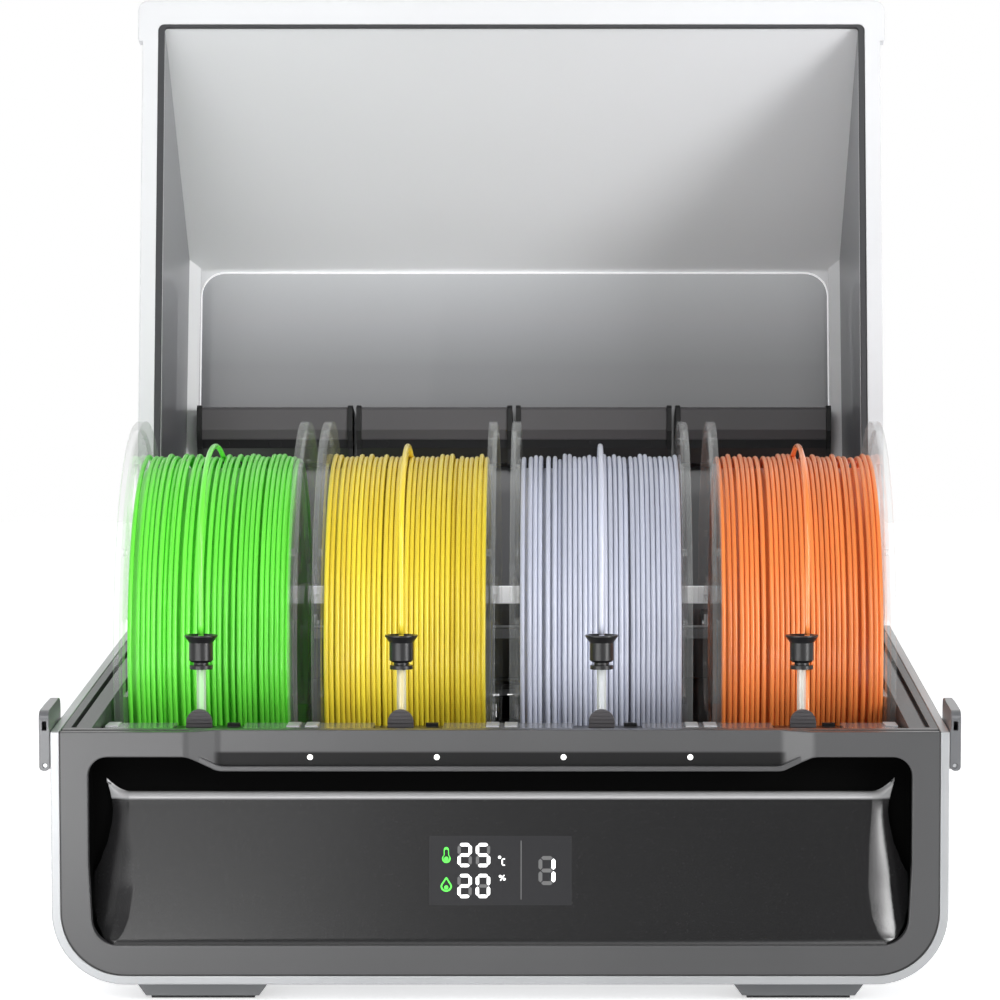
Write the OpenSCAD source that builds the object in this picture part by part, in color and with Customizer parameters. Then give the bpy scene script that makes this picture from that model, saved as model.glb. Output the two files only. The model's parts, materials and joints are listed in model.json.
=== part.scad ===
// Four-spool filament dryer box with its lid held open.
// Millimetres, +Z up, front towards -Y.
// Lengths along Y are counted back from the front face of the body, and the
// origin is under the middle of the floor area that the open box covers.

/* [Body] */
// Room between an outer spool bay and the outside of the body
side_room = 16.45; // [15.8:0.05:20]
// Room behind the spools, for the fan and the heater
rear_room = 41.6; // [40:0.2:60]
// Height of the front rim above the floor
front_h = 112.25; // [110:0.25:118]
// Rise of the rim towards the back, in degrees
rim_slope = 3.96; // [3:0.02:4.4]
// Wall of the outer shell
shell_t = 3.5; // [2.5:0.1:4]
// Radius of the long bottom edges
corner_r = 30; // [20:1:40]
// Height of the body above the floor
foot_h = 7.35; // [5:0.05:9]

/* [Front] */
// Set-back of the middle of the upper band, for lifting the lid
band_setback = 5; // [3:0.5:6]
// Half width of the set-back part of the band
band_half = 116.7; // [100:0.1:125]
// Thickness of the fascia moulding
fascia_t = 3; // [2:0.1:4]
// Depth of the top flange of the fascia
fascia_flange = 9.5; // [9:0.1:11]
// Distance of the ends of the front recess from the sides of the body
recess_side = 15.15; // [13.5:0.05:25]
// Height of the bottom of the recess
recess_low = 23.6; // [18:0.1:30]
// Height of the top of the recess under the band
recess_top = 95.8; // [92:0.1:98]
// Extra height of the recess at its two ends
recess_rise = 6.1; // [4:0.1:8]
// Depth of the front recess
recess_d = 17.5; // [15:0.5:18]
// Backward lean of the front panel, in degrees
panel_lean = 10; // [6:0.5:11]
// Height of the top of the front panel
panel_top = 87; // [80:0.5:88]
// Width of the display window
display_w = 59.4; // [50:0.2:70]
// Height of the display window
display_h = 28.8; // [22:0.2:34]
// Distance between indicator lights
lamp_pitch = 52.4; // [40:0.2:56]
// Diameter of an indicator light
lamp_d = 2.3; // [1.5:0.1:4]

/* [Bays and spools] */
// Diameter of a spool flange
spool_d = 200; // [190:1:201]
// Width of a spool over its flanges
spool_w = 78.2; // [70:0.2:80]
// Gap between two spools
spool_gap = 6.2; // [6:0.1:8]
// Thickness of a spool rim
rim_t = 4; // [3:0.1:5]
// Thickness of the web of a spool flange
web_t = 2; // [1.5:0.1:2.5]
// Diameter of the wound filament
wound_d = 169; // [150:1:176]
// Outer diameter of the spool core
core_d = 82; // [76:1:90]
// Bore of the spool core
core_bore = 55; // [50:1:60]
// Pitch of the filament turns
turn_pitch = 2.25; // [2:0.05:3]
// Filament diameter
filament_d = 1.75; // [1.5:0.05:1.85]
// Distance of the spool axis from the front face
spool_y = 156.4; // [155:0.2:160]
// Height of the spool axis
spool_z = 136.4; // [136:0.2:142]
// Sideways play taken up by the last spool
spool_slip = 2.3; // [-1:0.1:2.4]

/* [Rollers] */
// Radius of a roller tyre
tyre_r = 7; // [6:0.1:7.5]
// Width of a roller tyre
tyre_w = 6.6; // [4:0.1:6.8]
// Diameter of a roller shaft
shaft_d = 4; // [3:0.1:5]
// Angle of the rollers from the lowest point of the spool
roller_angle = 40; // [36:1:44]
// Diameter of a shaft bush
bush_d = 7; // [6.5:0.1:8]

/* [Inlets] */
// Distance of the guide tubes from the front face
tube_y = 40; // [38:0.5:41]
// Outer diameter of a guide tube
tube_d = 4; // [3.6:0.1:5]
// Bore of a guide tube
tube_bore = 2.1; // [2:0.1:2.6]
// Height of the funnel rim
funnel_top = 149.3; // [146:0.1:150]
// Diameter of the funnel rim
funnel_d = 13.9; // [11:0.1:14]
// Width of a release tab
tab_w = 10.9; // [8:0.1:12]
// Travel of a release tab
tab_travel = 3; // [2:0.1:3.4]

/* [Lid] */
// Overhang of the lid in front of the body
lid_lip = 3.3; // [2:0.1:5]
// Height of the closed lid above the floor
lid_h = 276; // [270:1:290]
// How far the lid stands back from each side of the body
lid_inset = 1.95; // [1.8:0.05:3]
// Opening angle of the lid
lid_open = 104; // [95:1:106]
// Wall of the lid shell
lid_t = 2.6; // [2:0.1:3.2]
// Wall of the lid liner
liner_t = 2; // [1.5:0.1:2.4]
// Thickness of the lid frame
frame_t = 9; // [7:0.5:10]
// Running gap between lid and rim
lid_gap = 0.5; // [0.3:0.05:0.8]
// Gap between two desiccant boxes
dry_gap = 2; // [1.2:0.1:4]

/* [Hinges and latches] */
// Radius of the hinge barrel
barrel_r = 5; // [4.5:0.1:5.5]
// Diameter of the hinge pin
pin_d = 4; // [3:0.1:5]
// Distance of a hinge from the middle of the box
hinge_x = 110; // [90:1:130]
// Width of the lid knuckle
knuckle_w = 18; // [12:1:22]
// Length of a side latch
latch_l = 40; // [30:1:50]
// How far a latch stands out from the side
latch_out = 4.75; // [4.6:0.05:7]
// Height of the latch above the rim
latch_rise = 8.5; // [5:0.5:10]

/* [Hidden] */
$fn = 64;

// Clearances
seat = 0.15;         // between pieces that are fitted together
run = 0.3;           // between bodies that move
pin_run = 0.05;      // radial, round a turning pin
eps = 0.01;
far = 600;           // longer than the whole box

// Places worked out from the driving sizes
bay_pitch = spool_w + spool_gap;
body_w = 4 * bay_pitch + 2 * side_room;
tub_r = spool_d / 2 + 6;
body_d = spool_y + tub_r + rear_room;
bays = [for (i = [0:3]) (i - 1.5) * bay_pitch];
half_w = body_w / 2;
inner_half = half_w - shell_t;
floor_z = foot_h + shell_t;
tray_half = 2 * bay_pitch + 0.6;
tray_t = 3;
rim_band = 3.4;      // grey band beside the silver edge
groove_w = 2.1;      // groove inside the band, for the lip of the lid seal
groove_d = 3;
rim_sink = 0.2;      // how far the tray's edge lies under the shell's
deck_z = front_h - 2;
deck_t = 2.4;
deck_back = spool_y - sqrt(pow(spool_d / 2, 2) - pow(spool_z - deck_z, 2)) - 1.5;
gap_left = 12;       // feeder opening in the deck, left of the tube
gap_right = 17.4;
hinge_y = body_d + 4;
hinge_z = rim_z(hinge_y);
roller_run = run + tyre_r + spool_d / 2;
trough_r = tyre_r + 1.5;
post_w = 8;          // bearing post between two bays
bush_l = 3;
bush_in = bay_pitch / 2 - post_w / 2;
shaft_half = bush_in + bush_l - 0.4;
lid_half = half_w - lid_inset;
recess_half = half_w - recess_side;
feeder_front = recess_d + 2.65;
lid_back = hinge_y + 6.5;
lid_flank = 120.7;   // half the plain length of the shell flank
strand_r = filament_d / 2;

function rim_z(y) = front_h + y * tan(rim_slope);
function unit(v) = v / norm(v);
function spool_x(i) = bays[i] + (i == 3 ? spool_slip : 0);
function opened(p) = let (d = [p[0] - hinge_y, p[1] - hinge_z])
    [hinge_y + d[0] * cos(lid_open) + d[1] * sin(lid_open),
     hinge_z - d[0] * sin(lid_open) + d[1] * cos(lid_open)];

// Half the angle at corner b of the outline a, b, c
function half_angle(a, b, c) = acos(unit(a - b) * unit(c - b)) / 2;
function bisector(a, b, c) = unit(unit(a - b) + unit(c - b));
function before(pts, i) = pts[(i + len(pts) - 1) % len(pts)];
function after(pts, i) = pts[(i + 1) % len(pts)];

// Points of an arc of radius r that rounds corner b, with more chords on a larger arc
function arc_steps(r) = max(4, round(3 * sqrt(r)));
function fillet(a, b, c, r) =
    let (half = half_angle(a, b, c),
         centre = b + bisector(a, b, c) * r / sin(half),
         first = b + unit(a - b) * r / tan(half) - centre,
         last = b + unit(c - b) * r / tan(half) - centre,
         from = atan2(first[1], first[0]),
         sweep = (atan2(last[1], last[0]) - from + 540) % 360 - 180,
         steps = arc_steps(r))
    [for (k = [0:steps]) centre
        + r * [cos(from + sweep * k / steps), sin(from + sweep * k / steps)]];

// Outline with each corner rounded by its own radius
function rounded(pts, radii) = [for (i = [0:len(pts) - 1])
    each radii[i] <= 0 ? [pts[i]]
        : fillet(before(pts, i), pts[i], after(pts, i), radii[i])];

// Convex outline moved inwards by d, or outwards where d is negative
function inset(pts, d) = [for (i = [0:len(pts) - 1])
    pts[i] + bisector(before(pts, i), pts[i], after(pts, i))
        * d / sin(half_angle(before(pts, i), pts[i], after(pts, i)))];

module along_x(w) { rotate([90, 0, 90]) linear_extrude(w, center = true) children(); }
module along_y(y0, y1) { translate([0, y1, 0]) rotate([90, 0, 0]) linear_extrude(y1 - y0) children(); }
module rod_x(r, x0, x1) { translate([x0, 0, 0]) rotate([0, 90, 0]) cylinder(r = r, h = x1 - x0); }
module rod_y(r, y0, y1) { translate([0, y1, 0]) rotate([90, 0, 0]) cylinder(r = r, h = y1 - y0); }
module box(x0, x1, y0, y1, z0, z1) { translate([x0, y0, z0]) cube([x1 - x0, y1 - y0, z1 - z0]); }
module both_sides() { children(); mirror([1, 0, 0]) children(); }
module on_rim() { translate([0, 0, front_h]) rotate([rim_slope, 0, 0]) children(); }
module above_rim(lift) { on_rim() translate([-far, -far, lift]) cube(2 * far); }
module below_rim(lift) { on_rim() translate([-far, -far, lift - 2 * far]) cube(2 * far); }

// ---------------------------------------------------------------- body shell

// Front view of the body, grown or shrunk by d, open to any height above
module body_outline(d) {
    low = foot_h - d;
    side = half_w + d;
    round_r = corner_r + d;
    polygon(rounded([[-side, low], [side, low], [side, far], [-side, far]],
        [round_r, round_r, 0, 0]));
}

latch_axis_x = half_w + latch_out / 2;
latch_axis_z = front_h - 14.05;
latch_y0 = 0.5;
ear_l = 3;           // ears that hold the latch pin
ear_at = 7;          // distance of an ear from the end of the latch
ear_r = 2;

module latch_ears() {
    for (y = [latch_y0 + ear_at, latch_y0 + latch_l - ear_at - ear_l])
        difference() {
            union() {
                translate([latch_axis_x, 0, latch_axis_z]) rod_y(ear_r, y, y + ear_l);
                box(half_w - 1, latch_axis_x, y, y + ear_l,
                    latch_axis_z - ear_r, latch_axis_z + ear_r);
            }
            translate([latch_axis_x, 0, latch_axis_z])
                rod_y(latch_pin_r, y - 1, y + ear_l + 1);
        }
}

vent_w = 3;
vent_pitch = 7;
outlet_z = 60;
outlet_pitch = 22;
outlet_x = -92;
outlet_r = 5;
socket_x = 95;
socket_w = 28;
socket_h = 20;

hinge_ear_w = 6;
ear_in = knuckle_w / 2 + run;
ear_out = ear_in + hinge_ear_w;
ear_web = 14;        // height of the ear's root on the back wall

module hinge_ears() {
    for (s = [-1, 1], e = [-1, 1])
        translate([s * hinge_x + e * (ear_in + ear_out) / 2, 0, 0])
            difference() {
                union() {
                    translate([0, hinge_y, hinge_z])
                        rod_x(barrel_r, -hinge_ear_w / 2, hinge_ear_w / 2);
                    along_x(hinge_ear_w) polygon([
                        [body_d - 1, hinge_z - barrel_r - ear_web],
                        [hinge_y + barrel_r * sin(40), hinge_z - barrel_r * cos(40)],
                        [hinge_y, hinge_z], [body_d - 1, hinge_z - 1]]);
                }
                translate([0, hinge_y, hinge_z]) rod_x(pin_d / 2, -far, far);
            }
}

module outer_shell() {
    color([0.83, 0.84, 0.85]) {
        difference() {
            along_y(0, body_d) body_outline(0);
            along_y(-1, body_d - shell_t) body_outline(-shell_t);
            above_rim(0);
            for (s = [-1, 1]) translate([s * hinge_x, hinge_y, hinge_z])
                rod_x(barrel_r + run, -ear_in, ear_in);
            for (i = [0:3]) translate([outlet_x + (i - 1.5) * outlet_pitch, 0, outlet_z])
                rod_y(outlet_r, body_d - shell_t - 1, body_d + 1);
            box(socket_x - socket_w / 2, socket_x + socket_w / 2,
                body_d - shell_t - 1, body_d + 1,
                outlet_z - socket_h / 2, outlet_z + socket_h / 2);
            for (k = [-5:5]) box(k * vent_pitch - vent_w / 2, k * vent_pitch + vent_w / 2,
                body_d - shell_t - 1, body_d + 1, 52, 100);
            for (x = [-1, 1], y = [foot_y0, foot_y1])
                translate([x * foot_x, y, foot_h - 1]) cylinder(r = screw_r, h = far / 20);
        }
        both_sides() latch_ears();
        hinge_ears();
    }
}

// ---------------------------------------------------------------- front

well_t = 2;
s_width = 12.8;      // width of the S-shaped step of the band
recess_r = 8.2;
recess_low_r = 11;
recess_taper = 1.6;  // how far each end of the recess closes in towards the bottom
recess_bend = 34;    // height at which that starts

// Front view of the recess, grown by d
module recess_outline(d) {
    side = recess_half + d;
    step_in = band_half - d / 2;
    step_out = band_half + s_width - d / 2;
    top = recess_top + d;
    high = top + recess_rise;
    r = recess_r + d;
    low = recess_low - d;
    foot = side - recess_taper;
    low_r = recess_low_r + d;
    polygon(rounded([[-foot, low], [foot, low], [side, low + recess_bend], [side, high],
        [step_out, high], [step_in, top], [-step_in, top], [-step_out, high], [-side, high],
        [-side, low + recess_bend]], [low_r, low_r, 60, r, 9, 9, 9, 9, r, 60]));
}

// Plan of the band, whose middle steps back
module band_plan() {
    out = band_half + s_width;
    front = [[-inner_half - 1, 0], [-out, 0], [-band_half, band_setback],
        [band_half, band_setback], [out, 0], [inner_half + 1, 0]];
    radii = [0, 9, 9, 9, 9, 0];
    back = [for (p = front) [p[0], p[1] + fascia_t]];
    polygon(concat(rounded([for (i = [5:-1:0]) back[i]], radii), rounded(front, radii)));
}

module lamp_places() {
    for (i = [0:3]) translate([(i - 1.5) * lamp_pitch, 0, front_h - 10.9]) children();
}

module front_fascia() {
    color([0.36, 0.37, 0.38]) difference() {
        intersection() {
            union() {
                along_y(0, fascia_t) difference() {
                    body_outline(-far / 200);
                    translate([-far, recess_top]) square(2 * far);
                }
                translate([0, 0, recess_top - eps]) linear_extrude(far) band_plan();
                along_y(fascia_t - 1, recess_d) recess_outline(well_t);
                difference() {
                    box(-inner_half, inner_half, band_setback + 1, fascia_flange,
                        deck_z - deck_t - 0.2, far);
                    translate([0, -fascia_t, 0]) linear_extrude(far) band_front();
                }
            }
            along_y(-1, far) body_outline(-shell_t - seat);
        }
        above_rim(0);
        along_y(-1, recess_d - well_t) recess_outline(0);
        lamp_places() rod_y(lamp_d / 2, -1, band_setback + fascia_t + 1);
    }
}

// Everything in front of the band, in plan
module band_front() {
    polygon([[-far, -far], [far, -far], [far, fascia_t], [-far, fascia_t]]);
}

// Places children on the leaning face of the panel, at height 0 = recess_low
module on_panel() {
    translate([0, 0.8, recess_low]) rotate([-panel_lean, 0, 0]) children();
}

panel_t = 2.4;
panel_h = (panel_top - recess_low) / cos(panel_lean);
panel_half = recess_half - 1.2;
panel_end_r = 9;
display_mid = 31;    // height of the display's middle along the panel
nose_r = 4;

module panel_side(d) {
    reach = 10;
    polygon(rounded([[d, 0.6], [reach, 0.6 + d], [reach, 0.7 * panel_h], [reach, panel_h - d], [d, panel_h - d]],
        [0, 0, 0, 0, nose_r - d / 2]));
}

module front_panel() {
    color([0.25, 0.25, 0.26]) difference() {
        intersection() {
            on_panel() difference() {
                along_x(2 * panel_half) panel_side(0);
                along_x(2 * (panel_half - panel_t)) translate([panel_t, -1]) square([far, panel_h - panel_t + 1]);
                box(-display_w / 2, display_w / 2, -1, panel_t + 1,
                    display_mid - display_h / 2, display_mid + display_h / 2);
            }
            linear_extrude(far) polygon(rounded([[-panel_half, 0], [panel_half, 0],
                [panel_half, recess_d - well_t - seat], [-panel_half, recess_d - well_t - seat]],
                [panel_end_r, panel_end_r, 0, 0]));
            along_y(-far, far) recess_outline(-seat);
        }
    }
}

window_t = 1.6;
board_t = 1.6;

module display_window() {
    color([0.1, 0.1, 0.1, 0.8]) on_panel()
        box(-display_w / 2 + seat, display_w / 2 - seat, 0.1, window_t,
            display_mid - display_h / 2 + seat, display_mid + display_h / 2 - seat);
}

module display_board() {
    color([0.05, 0.3, 0.15]) on_panel() {
        box(-display_w / 2 + 1, display_w / 2 - 1, window_t, window_t + 2.2,
            display_mid - display_h / 2 + 1, display_mid + display_h / 2 - 1);
        box(-display_w / 2 - 4, display_w / 2 + 4, window_t + 2.2, window_t + 2.2 + board_t,
            display_mid - display_h / 2 - 3, display_mid + display_h / 2 + 3);
    }
}

module indicator_lenses() {
    color("white") lamp_places()
        rod_y(lamp_d / 2, band_setback - 0.2, band_setback + fascia_t + 1);
}

// ---------------------------------------------------------------- tray

module roller_place(side) {
    translate([0, spool_y + side * roller_run * sin(roller_angle),
        spool_z - roller_run * cos(roller_angle)]) children();
}

module tub_solid(r, half) {
    intersection() {
        translate([0, spool_y, spool_z]) rod_x(r, -half, half);
        box(-half, half, 0, far, 0, spool_z);
    }
}

module spool_tray() {
    tub_back = spool_y + tub_r;
    edge = inner_half - seat;
    back = body_d - shell_t - seat;
    color([0.28, 0.29, 0.3]) difference() {
        union() {
            tub_solid(tub_r + tray_t, tray_half + tray_t);
            for (s = [-1, 1]) roller_place(s)
                rod_x(trough_r + tray_t, -tray_half - tray_t, tray_half + tray_t);
            difference() {
                box(-fan_w / 2, fan_w / 2, spool_y + tub_r * 0.6, fan_y,
                    fan_z - fan_w / 2, fan_z + fan_w / 2);
                translate([0, 0, fan_z]) rod_y(fan_w / 2 - 2, 0, far);
            }
            intersection() {
                box(-edge, edge, fascia_flange + seat, back, 0, far);
                difference() { above_rim(-tray_t - groove_d); above_rim(-rim_sink); }
            }
        }
        above_rim(-rim_sink);
        difference() {
            union() {
                tub_solid(tub_r, tray_half);
                box(-tray_half, tray_half, 0, tub_back, deck_z - deck_t, far);
                box(-tray_half, tray_half, 0, spool_y - tub_r - tray_t, 0, far);
                box(-tray_half, tray_half, deck_back, tub_back, spool_z - spool_d / 4, far);
            }
            for (s = [-1, 0, 1]) divider(s * bay_pitch);
        }
        for (s = [-1, 1]) roller_place(s) {
            for (b = bays) rod_x(trough_r, b - bush_in, b + bush_in);
            for (b = bays) rod_x(bush_d / 2, b - bush_in - bush_l, b + bush_in + bush_l);
        }
        on_rim() difference() {
            box(rim_band - edge, edge - rim_band, fascia_flange + 3, back - rim_band, -groove_d, far);
            box(rim_band + groove_w - edge, edge - rim_band - groove_w,
                0, back - rim_band - groove_w, -far, far);
        }
        for (s = [-1, 1]) translate([s * hinge_x, hinge_y, hinge_z])
            rod_x(barrel_r + run, -ear_in, ear_in);
        for (k = [-5:5]) box(k * vent_pitch - vent_w / 2, k * vent_pitch + vent_w / 2,
            spool_y, far, 60, 100);
    }
}

// Low web between two bays, which carries the roller bushes
divider_t = 3;
divider_top = 66;
module divider(x) {
    intersection() {
        union() {
            difference() {
                box(x - divider_t / 2, x + divider_t / 2, 0, far, 0, divider_top);
                translate([0, spool_y, spool_z]) rod_x(spool_d / 2 - 34, -far, far);
            }
            difference() {
                for (s = [-1, 1]) roller_place(s) rod_x(trough_r, x - post_w / 2, x + post_w / 2);
                translate([0, spool_y, spool_z]) rod_x(spool_d / 2 + 0.6, -far, far);
            }
        }
        translate([0, spool_y, spool_z]) rod_x(tub_r + 1, -far, far);
    }
}

module front_deck() {
    half = bays[3] + guide_mid + guide_w / 2;
    color([0.6, 0.62, 0.66]) difference() {
        box(-half, half, fascia_flange + seat, deck_back, deck_z - deck_t + eps, deck_z);
        for (b = bays) {
            box(b - gap_left, b + gap_right, feeder_front - seat, far, 0, far);
            for (s = [-1, 1]) guide_block(b, s, 0.05);
        }
    }
}

guide_w = 5.4;
guide_mid = spool_w / 2 - 0.8;
guide_l = 16;
module guide_block(b, s, d) {
    box(b + s * guide_mid - guide_w / 2 - d, b + s * guide_mid + guide_w / 2 + d,
        deck_back - guide_l - d, deck_back + d, deck_z - deck_t - d, deck_z + 0.4 + d);
}

module bay_guides() {
    color([0.9, 0.9, 0.88]) for (b = bays, s = [-1, 1]) guide_block(b, s, 0);
}

// ---------------------------------------------------------------- feeders

feeder_low = 58;
feeder_top = deck_z - deck_t + 1.2;
motor_r = 12;
motor_low = 28;
tab_y = 30;
tab_t = 3;
tab_top = front_h + 6.5;
tab_rib = 1.6;
tube_low = feeder_top - 7;
clip_x = 12.4;

module feeder(i) {
    color([0.13, 0.13, 0.14]) translate([bays[i], 0, 0]) difference() {
        union() {
            box(-gap_left + seat, gap_right - seat, feeder_front, tube_y + 6, feeder_low, feeder_top);
            box(-gap_left + seat, gap_right - seat, tube_y + 5, deck_back, deck_z - deck_t + eps, feeder_top);
            box(clip_x - 2.7, clip_x + 2.7, deck_back - 4, deck_back - 1, feeder_top - 1, deck_z + 0.3);
            translate([2, (feeder_front + tube_y + 6) / 2, motor_low])
                cylinder(r = motor_r, h = feeder_low - motor_low + 1);
        }
        translate([0, tube_y, tube_low]) cylinder(r = tube_d / 2, h = far);
        translate([0, tube_y, 0]) cylinder(r = tube_bore / 2, h = far);
        box(-tab_w / 2 - run, tab_w / 2 + run, tab_y - tab_t / 2 - run,
            tab_y + tab_t / 2 + tab_travel + run, feeder_top - 4, far);
    }
}

module release_tab(i) {
    r = tab_w / 2;
    base = feeder_top - 3.6;
    mid = tab_top - r;
    color([0.35, 0.34, 0.36]) translate([bays[i], 0, 0]) difference() {
        along_y(tab_y - tab_t / 2, tab_y + tab_t / 2) union() {
            translate([0, mid]) circle(r = r);
            translate([-r, base]) square([2 * r, mid - base]);
        }
        for (k = [0:5]) box(-far, far, 0, tab_y - tab_t / 2 + 0.5,
            tab_top - 9.6 + tab_rib * k, tab_top - 9 + tab_rib * k);
    }
}

tube_top = funnel_top - 13;
module guide_tubes() {
    color([0.85, 0.9, 0.85, 0.6]) for (b = bays) translate([b, tube_y, 0]) difference() {
        translate([0, 0, tube_low]) cylinder(r = tube_d / 2, h = tube_top - tube_low);
        cylinder(r = tube_bore / 2, h = far);
    }
}

module funnels() {
    lip = 1.2;
    cup = funnel_d / 2 - 1.9;
    neck = tube_d / 2 + 1.15;
    ring = neck + 1.7;
    z = funnel_top;
    color([0.12, 0.12, 0.13]) for (b = bays) translate([b, tube_y, 0])
        rotate_extrude() polygon([[tube_bore / 2, z - 12.4], [tube_d / 2, z - 12.4],
            [tube_d / 2, z - 14.4], [ring, z - 14.4], [ring, z - 12.8], [neck, z - 12.8],
            [neck, z - 11.6], [cup - 0.9, z - 11.4], [cup, z - 10.6], [cup, z - 3.2],
            [funnel_d / 2, z - lip / 2], [funnel_d / 2, z], [cup + 0.6, z], [cup - 1.2, z - 3],
            [cup - 1.6, z - 7], [tube_bore / 2, z - 10.4]]);
}

// The free end of each filament: over the winding, into the funnel and down the tube
lead_r = wound_d / 2 + run + strand_r;
lead_to = [tube_y, funnel_top - 3.2];
lead_rel = lead_to - [spool_y, spool_z];
lead_angle = atan2(lead_rel[1], lead_rel[0]) - acos(lead_r / norm(lead_rel));
lead_from = [spool_y, spool_z] + lead_r * [cos(lead_angle), sin(lead_angle)];
lead_start = 78;

module filament_leads() {
    run_len = norm(lead_to - lead_from);
    fall = atan2(lead_from[1] - lead_to[1], lead_from[0] - lead_to[0]);
    color([0.9, 0.8, 0.3]) for (b = bays) translate([b, 0, 0]) {
        translate([0, spool_y, spool_z]) rotate([lead_start, 0, 0]) rotate([90, 0, 90])
            rotate_extrude(angle = lead_angle - lead_start)
                translate([lead_r, 0]) circle(r = strand_r, $fn = 24);
        translate([0, lead_to[0], lead_to[1]]) rotate([fall - 90, 0, 0])
            cylinder(r = strand_r, h = run_len, $fn = 24);
        translate([0, lead_to[0], lead_to[1]]) sphere(r = strand_r, $fn = 24);
        translate([0, tube_y, tube_low - 30]) cylinder(r = strand_r, h = lead_to[1] - tube_low + 30, $fn = 24);
    }
}

// ---------------------------------------------------------------- rollers

module roller(i, side) {
    color([0.2, 0.2, 0.22]) translate([bays[i], 0, 0]) roller_place(side) {
        rod_x(shaft_d / 2, -shaft_half, shaft_half);
        for (s = [-1, 1]) translate([s * (bush_in - 0.6 - tyre_w / 2), 0, 0]) {
            rod_x(tyre_r, -tyre_w / 2, tyre_w / 2);
        }
        rod_x(shaft_d / 2 + 1.5, -bush_in + 1, bush_in - 1);
    }
}

module roller_bushes() {
    color([0.75, 0.6, 0.3]) for (b = bays, s = [-1, 1], e = [-1, 1])
        translate([b + e * (bush_in + bush_l / 2), 0, 0]) roller_place(s) difference() {
            rod_x(bush_d / 2, -bush_l / 2 + 0.1, bush_l / 2);
            rod_x(shaft_d / 2 + pin_run, -far, far);
        }
}

// ---------------------------------------------------------------- dryer unit

fan_w = 60;
fan_t = 15;
fan_y = spool_y + tub_r + tray_t;
fan_z = 78;
fan_hub_r = 13;
fan_post_r = 2;

module fan_frame() {
    r = fan_w / 2 - 2;
    color([0.1, 0.1, 0.1]) translate([0, 0, fan_z]) {
        difference() {
            along_y(fan_y, fan_y + fan_t) polygon(rounded(
                [for (p = [[-1, -1], [1, -1], [1, 1], [-1, 1]]) p * fan_w / 2], [4, 4, 4, 4]));
            rod_y(r, fan_y - 1, fan_y + fan_t + 1);
        }
        rod_y(fan_hub_r, fan_y + fan_t - 1.5, fan_y + fan_t);
        rod_y(fan_post_r, fan_y + 3, fan_y + fan_t);
        for (a = [45:90:315]) rotate([0, a, 0])
            box(-1.5, 1.5, fan_y + fan_t - 1.5, fan_y + fan_t, fan_hub_r - 1, r + 1);
    }
}

module fan_rotor() {
    tip = fan_w / 2 - 3;
    y0 = fan_y + 2;
    y1 = fan_y + fan_t - 2;
    color([0.15, 0.15, 0.15]) translate([0, 0, fan_z]) difference() {
        union() {
            rod_y(fan_hub_r, y0, y1);
            for (k = [0:6]) rotate([0, k * 360 / 7, 0]) translate([0, (y0 + y1) / 2, 0])
                rotate([0, 0, 38]) box(-7.2, 7.2, -0.8, 0.8, fan_hub_r - 1, tip - 3);
        }
        rod_y(fan_post_r + pin_run, y0 + 1, far);
    }
}

heater_t = 10;
heater_half = fan_w / 2 - 4;
heater_rise = fan_w / 2 - 8;
fin_pitch = heater_half / 4.8;
module heater_block() {
    y0 = fan_y + fan_t + 0.4;
    color([0.72, 0.73, 0.75]) difference() {
        box(-heater_half, heater_half, y0, y0 + heater_t, fan_z - heater_rise, fan_z + heater_rise);
        for (k = [-4:4]) box((k - 0.28) * fin_pitch, (k + 0.28) * fin_pitch,
            y0 - 1, y0 + heater_t + 1, fan_z - heater_rise + 3, fan_z + heater_rise - 3);
    }
}

board_z0 = floor_z + 4;
board_half = 0.83 * bay_pitch;
board_deep = 0.45 * spool_d;
module control_board() {
    color([0.05, 0.3, 0.15]) translate([0, spool_y, 0]) {
        box(-board_half, board_half, -board_deep / 2, board_deep / 2, board_z0, board_z0 + board_t);
        for (x = [-1, 1], y = [-1, 1])
            translate([x * (board_half - 8), y * (board_deep / 2 - 8), floor_z])
                cylinder(r = 3, h = board_z0 - floor_z + eps);
        box(-board_half / 2, -board_half / 4, -10, 10, board_z0, board_z0 + 5);
        for (k = [0:2]) translate([k * board_half / 4, -board_deep / 2 + 6, board_z0]) cube([12, 8, 8]);
        translate([board_half / 3, board_deep / 4, board_z0]) cylinder(r = 5, h = 10);
    }
}

outlet_bore_r = 2.05;
outlet_in = 12;
outlet_out = 5;
module tube_outlets() {
    color([0.15, 0.15, 0.16]) for (i = [0:3])
        translate([outlet_x + (i - 1.5) * outlet_pitch, body_d, outlet_z]) difference() {
            union() {
                rod_y(outlet_r, -outlet_in, outlet_out);
                rod_y(outlet_r + 1.8, 0, 1.6);
            }
            rod_y(outlet_bore_r, -outlet_in - 1, outlet_out + 1);
        }
}

module power_socket() {
    color([0.1, 0.1, 0.1]) difference() {
        union() {
            box(socket_x - socket_w / 2 + seat, socket_x + socket_w / 2 - seat,
                body_d - 16, body_d, outlet_z - socket_h / 2 + seat, outlet_z + socket_h / 2 - seat);
            box(socket_x - socket_w / 2 - 3, socket_x + socket_w / 2 + 3,
                body_d, body_d + 1.8, outlet_z - socket_h / 2 - 3, outlet_z + socket_h / 2 + 3);
        }
        box(socket_x - 10, socket_x + 10, body_d - 11, body_d + 3, outlet_z - 6.5, outlet_z + 6.5);
    }
}

// ---------------------------------------------------------------- feet

foot_x = half_w - 61.25;
foot_y0 = 22;
foot_y1 = body_d - 26;
foot_l = 26;
foot_top_w = 56;
foot_low_w = 47;
pad_t = 1.2;
screw_r = 1.75;

module foot_places() {
    for (x = [-1, 1], y = [foot_y0, foot_y1]) translate([x * foot_x, y, 0]) children();
}

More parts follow.
